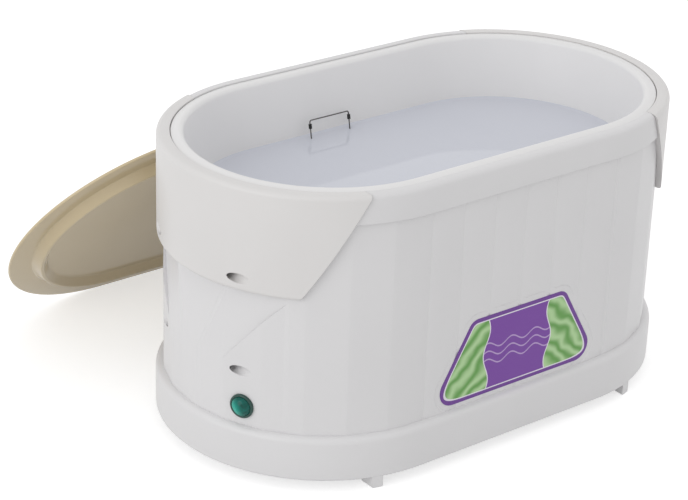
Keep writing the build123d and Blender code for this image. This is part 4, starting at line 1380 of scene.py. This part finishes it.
def makePins():
    bottom = inlet["face"] + inlet["frameThickness"] - inlet["socketDepth"] + inlet["pinGap"]
    wide, tall = inlet["pin"]
    length, (tip, narrower) = inlet["pinLength"], inlet["pinTip"]
    blades = bmesh.new()
    for y, z in inlet["pins"]:
        loops = []
        for x, inset in ((bottom, 0), (bottom + length - tip, 0), (bottom + length, narrower)):
            section = roundRect(wide - inset, tall - inset, inlet["pinRound"], inlet["height"] + z, 3)
            loops.append([(endX + x, y + across, up) for across, up in section])
        blade = skin("pin", loops)
        blades.from_mesh(blade.data)
        bpy.data.objects.remove(blade)
    return finishPiece(fromMesh("inletPins", blades), "inletPins", nickelPlate, 30)


inletPiece = makeInlet()
pinPiece = makePins()
for piece, node, name in (
        (inletPiece, "power_inlet", "inlet_black"), (pinPiece, "inlet_pins", "pin_nickel")):
    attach(piece, "bath")
    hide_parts(node)
print("inlet made")


# Finishes of the parts that keep their own shape
kept = {
    "rim_seal": paleSilicone,
    "heater_band": heaterSilicone,
    "heater_strap": zincSteel,
    "insulation_blanket": glassWool,
    "thermostat": darkPhenolic,
    "thermostat_bracket": zincSteel,
    "thermal_cutoff": cutoffCeramic,
    "earth_stud": turnedBrass,
    "terminal_block": greyNylon,
    "wiring": leadVinyl,
    "pilot_clip": zincSteel,
}
for name, material in kept.items():
    for holder in frame["nodes"][name].material_slots:
        holder.material = material
print("kept parts dressed:", len(kept))


# Studio: a pale floor, one wide lamp high on the left, and a soft light from all round
studio = {
    "key": 10.9,
    "keyPlace": (-2.3, -0.3, 1.0),  # metres
    "keyAim": (0.0, 0.0, 0.1),
    "keySize": 1.8,
    "sky": 0.81,
    "floorRadius": 9.0,
    "floorTones": ("d2d2d2", "d4d4d4"),
    "floorGlow": 0.08,
    "floorLift": 0.5,  # added where the camera or a gloss sees the floor
}


def seenBy(tree, kinds):  # 1 for rays of these kinds, 0 for the rest
    rays = addNode(tree, "ShaderNodeLightPath")
    shown = rays.outputs[kinds[0]]
    for kind in kinds[1:]:
        shown = addNode(tree, "ShaderNodeMath", {"operation": "MAXIMUM"}, {
            0: shown, 1: rays.outputs[kind]})
    return shown


def makeFloor():
    bm = bmesh.new()
    bmesh.ops.create_circle(bm, cap_ends=True, segments=64, radius=studio["floorRadius"])
    floor = fromMesh("floor", bm)
    material, tree, shader, place = newMaterial("pale studio floor")
    tree.nodes.remove(shader)
    haze = addNode(tree, "ShaderNodeTexNoise", inputs={"Vector": place, "Scale": 2.0})
    tone = addNode(tree, "ShaderNodeMix", {"data_type": "RGBA"}, {
        0: haze, 6: colour(studio["floorTones"][0]), 7: colour(studio["floorTones"][1])})
    paper = addNode(tree, "ShaderNodeBsdfDiffuse", inputs={"Color": tone})
    low = studio["floorGlow"]
    faint, bright = [
        addNode(tree, "ShaderNodeEmission", inputs={"Strength": strength})
        for strength in (low, low + studio["floorLift"])]
    seen = seenBy(tree, ("Is Camera Ray", "Is Glossy Ray"))
    lift = addNode(tree, "ShaderNodeMixShader", inputs={0: seen, 1: faint, 2: bright})
    both = addNode(tree, "ShaderNodeAddShader", inputs={0: paper, 1: lift})
    output = [node for node in tree.nodes if node.type == "OUTPUT_MATERIAL"][0]
    setInputs(output, {"Surface": both})
    floor.data.materials.append(material)


def makeSky():
    world = bpy.data.worlds.new("studio")
    world.use_nodes = True
    scene.world = world
    tree = world.node_tree
    tree.nodes.clear()
    soft, white = [
        addNode(tree, "ShaderNodeBackground", inputs={"Color": (1, 1, 1, 1), "Strength": strength})
        for strength in (studio["sky"], 1.0)]
    shown = seenBy(tree, ("Is Camera Ray", "Is Glossy Ray", "Is Transmission Ray"))
    sky = addNode(tree, "ShaderNodeMixShader", inputs={0: shown, 1: soft, 2: white})
    addNode(tree, "ShaderNodeOutputWorld", inputs={"Surface": sky})


def makeKey():
    data = bpy.data.lights.new("key", "AREA")
    data.shape = "DISK"
    data.size = studio["keySize"]
    data.energy = studio["key"]
    key = bpy.data.objects.new("key", data)
    key.location = studio["keyPlace"]
    key.rotation_euler = (Vector(studio["keyAim"]) - key.location).to_track_quat("-Z", "Y").to_euler()
    scene.collection.objects.link(key)


makeFloor()
makeSky()
makeKey()


# Camera at the photograph's viewing angle
view = {
    "turn": 37.76,
    "rise": 25.08,
    "roll": 1.72,
    "away": 1.6135,
    "target": (-0.03707, 0.05501, 0.1),
    "lens": 113.17,
    "sensor": 36,
    "shift": (0.0234, -0.0121),
}


def makeCamera():
    turn, rise, roll = (radians(view[key]) for key in ("turn", "rise", "roll"))
    back = Vector((-sin(turn) * cos(rise), -cos(turn) * cos(rise), sin(rise)))
    right = (-back).cross(Vector((0, 0, 1))).normalized()
    up = right.cross(-back)
    right, up = right * cos(roll) + up * sin(roll), up * cos(roll) - right * sin(roll)
    data = bpy.data.cameras.new("camera")
    data.sensor_fit = "HORIZONTAL"
    data.sensor_width = view["sensor"]
    data.lens = view["lens"]
    data.shift_x, data.shift_y = view["shift"]
    data.clip_end = 50
    camera = bpy.data.objects.new("camera", data)
    place = Matrix((right, up, back)).transposed().to_4x4()
    place.translation = Vector(view["target"]) + back * view["away"]
    camera.matrix_world = place
    scene.collection.objects.link(camera)
    scene.camera = camera


makeCamera()
scene.view_settings.view_transform = "Standard"
print("studio and camera ready")
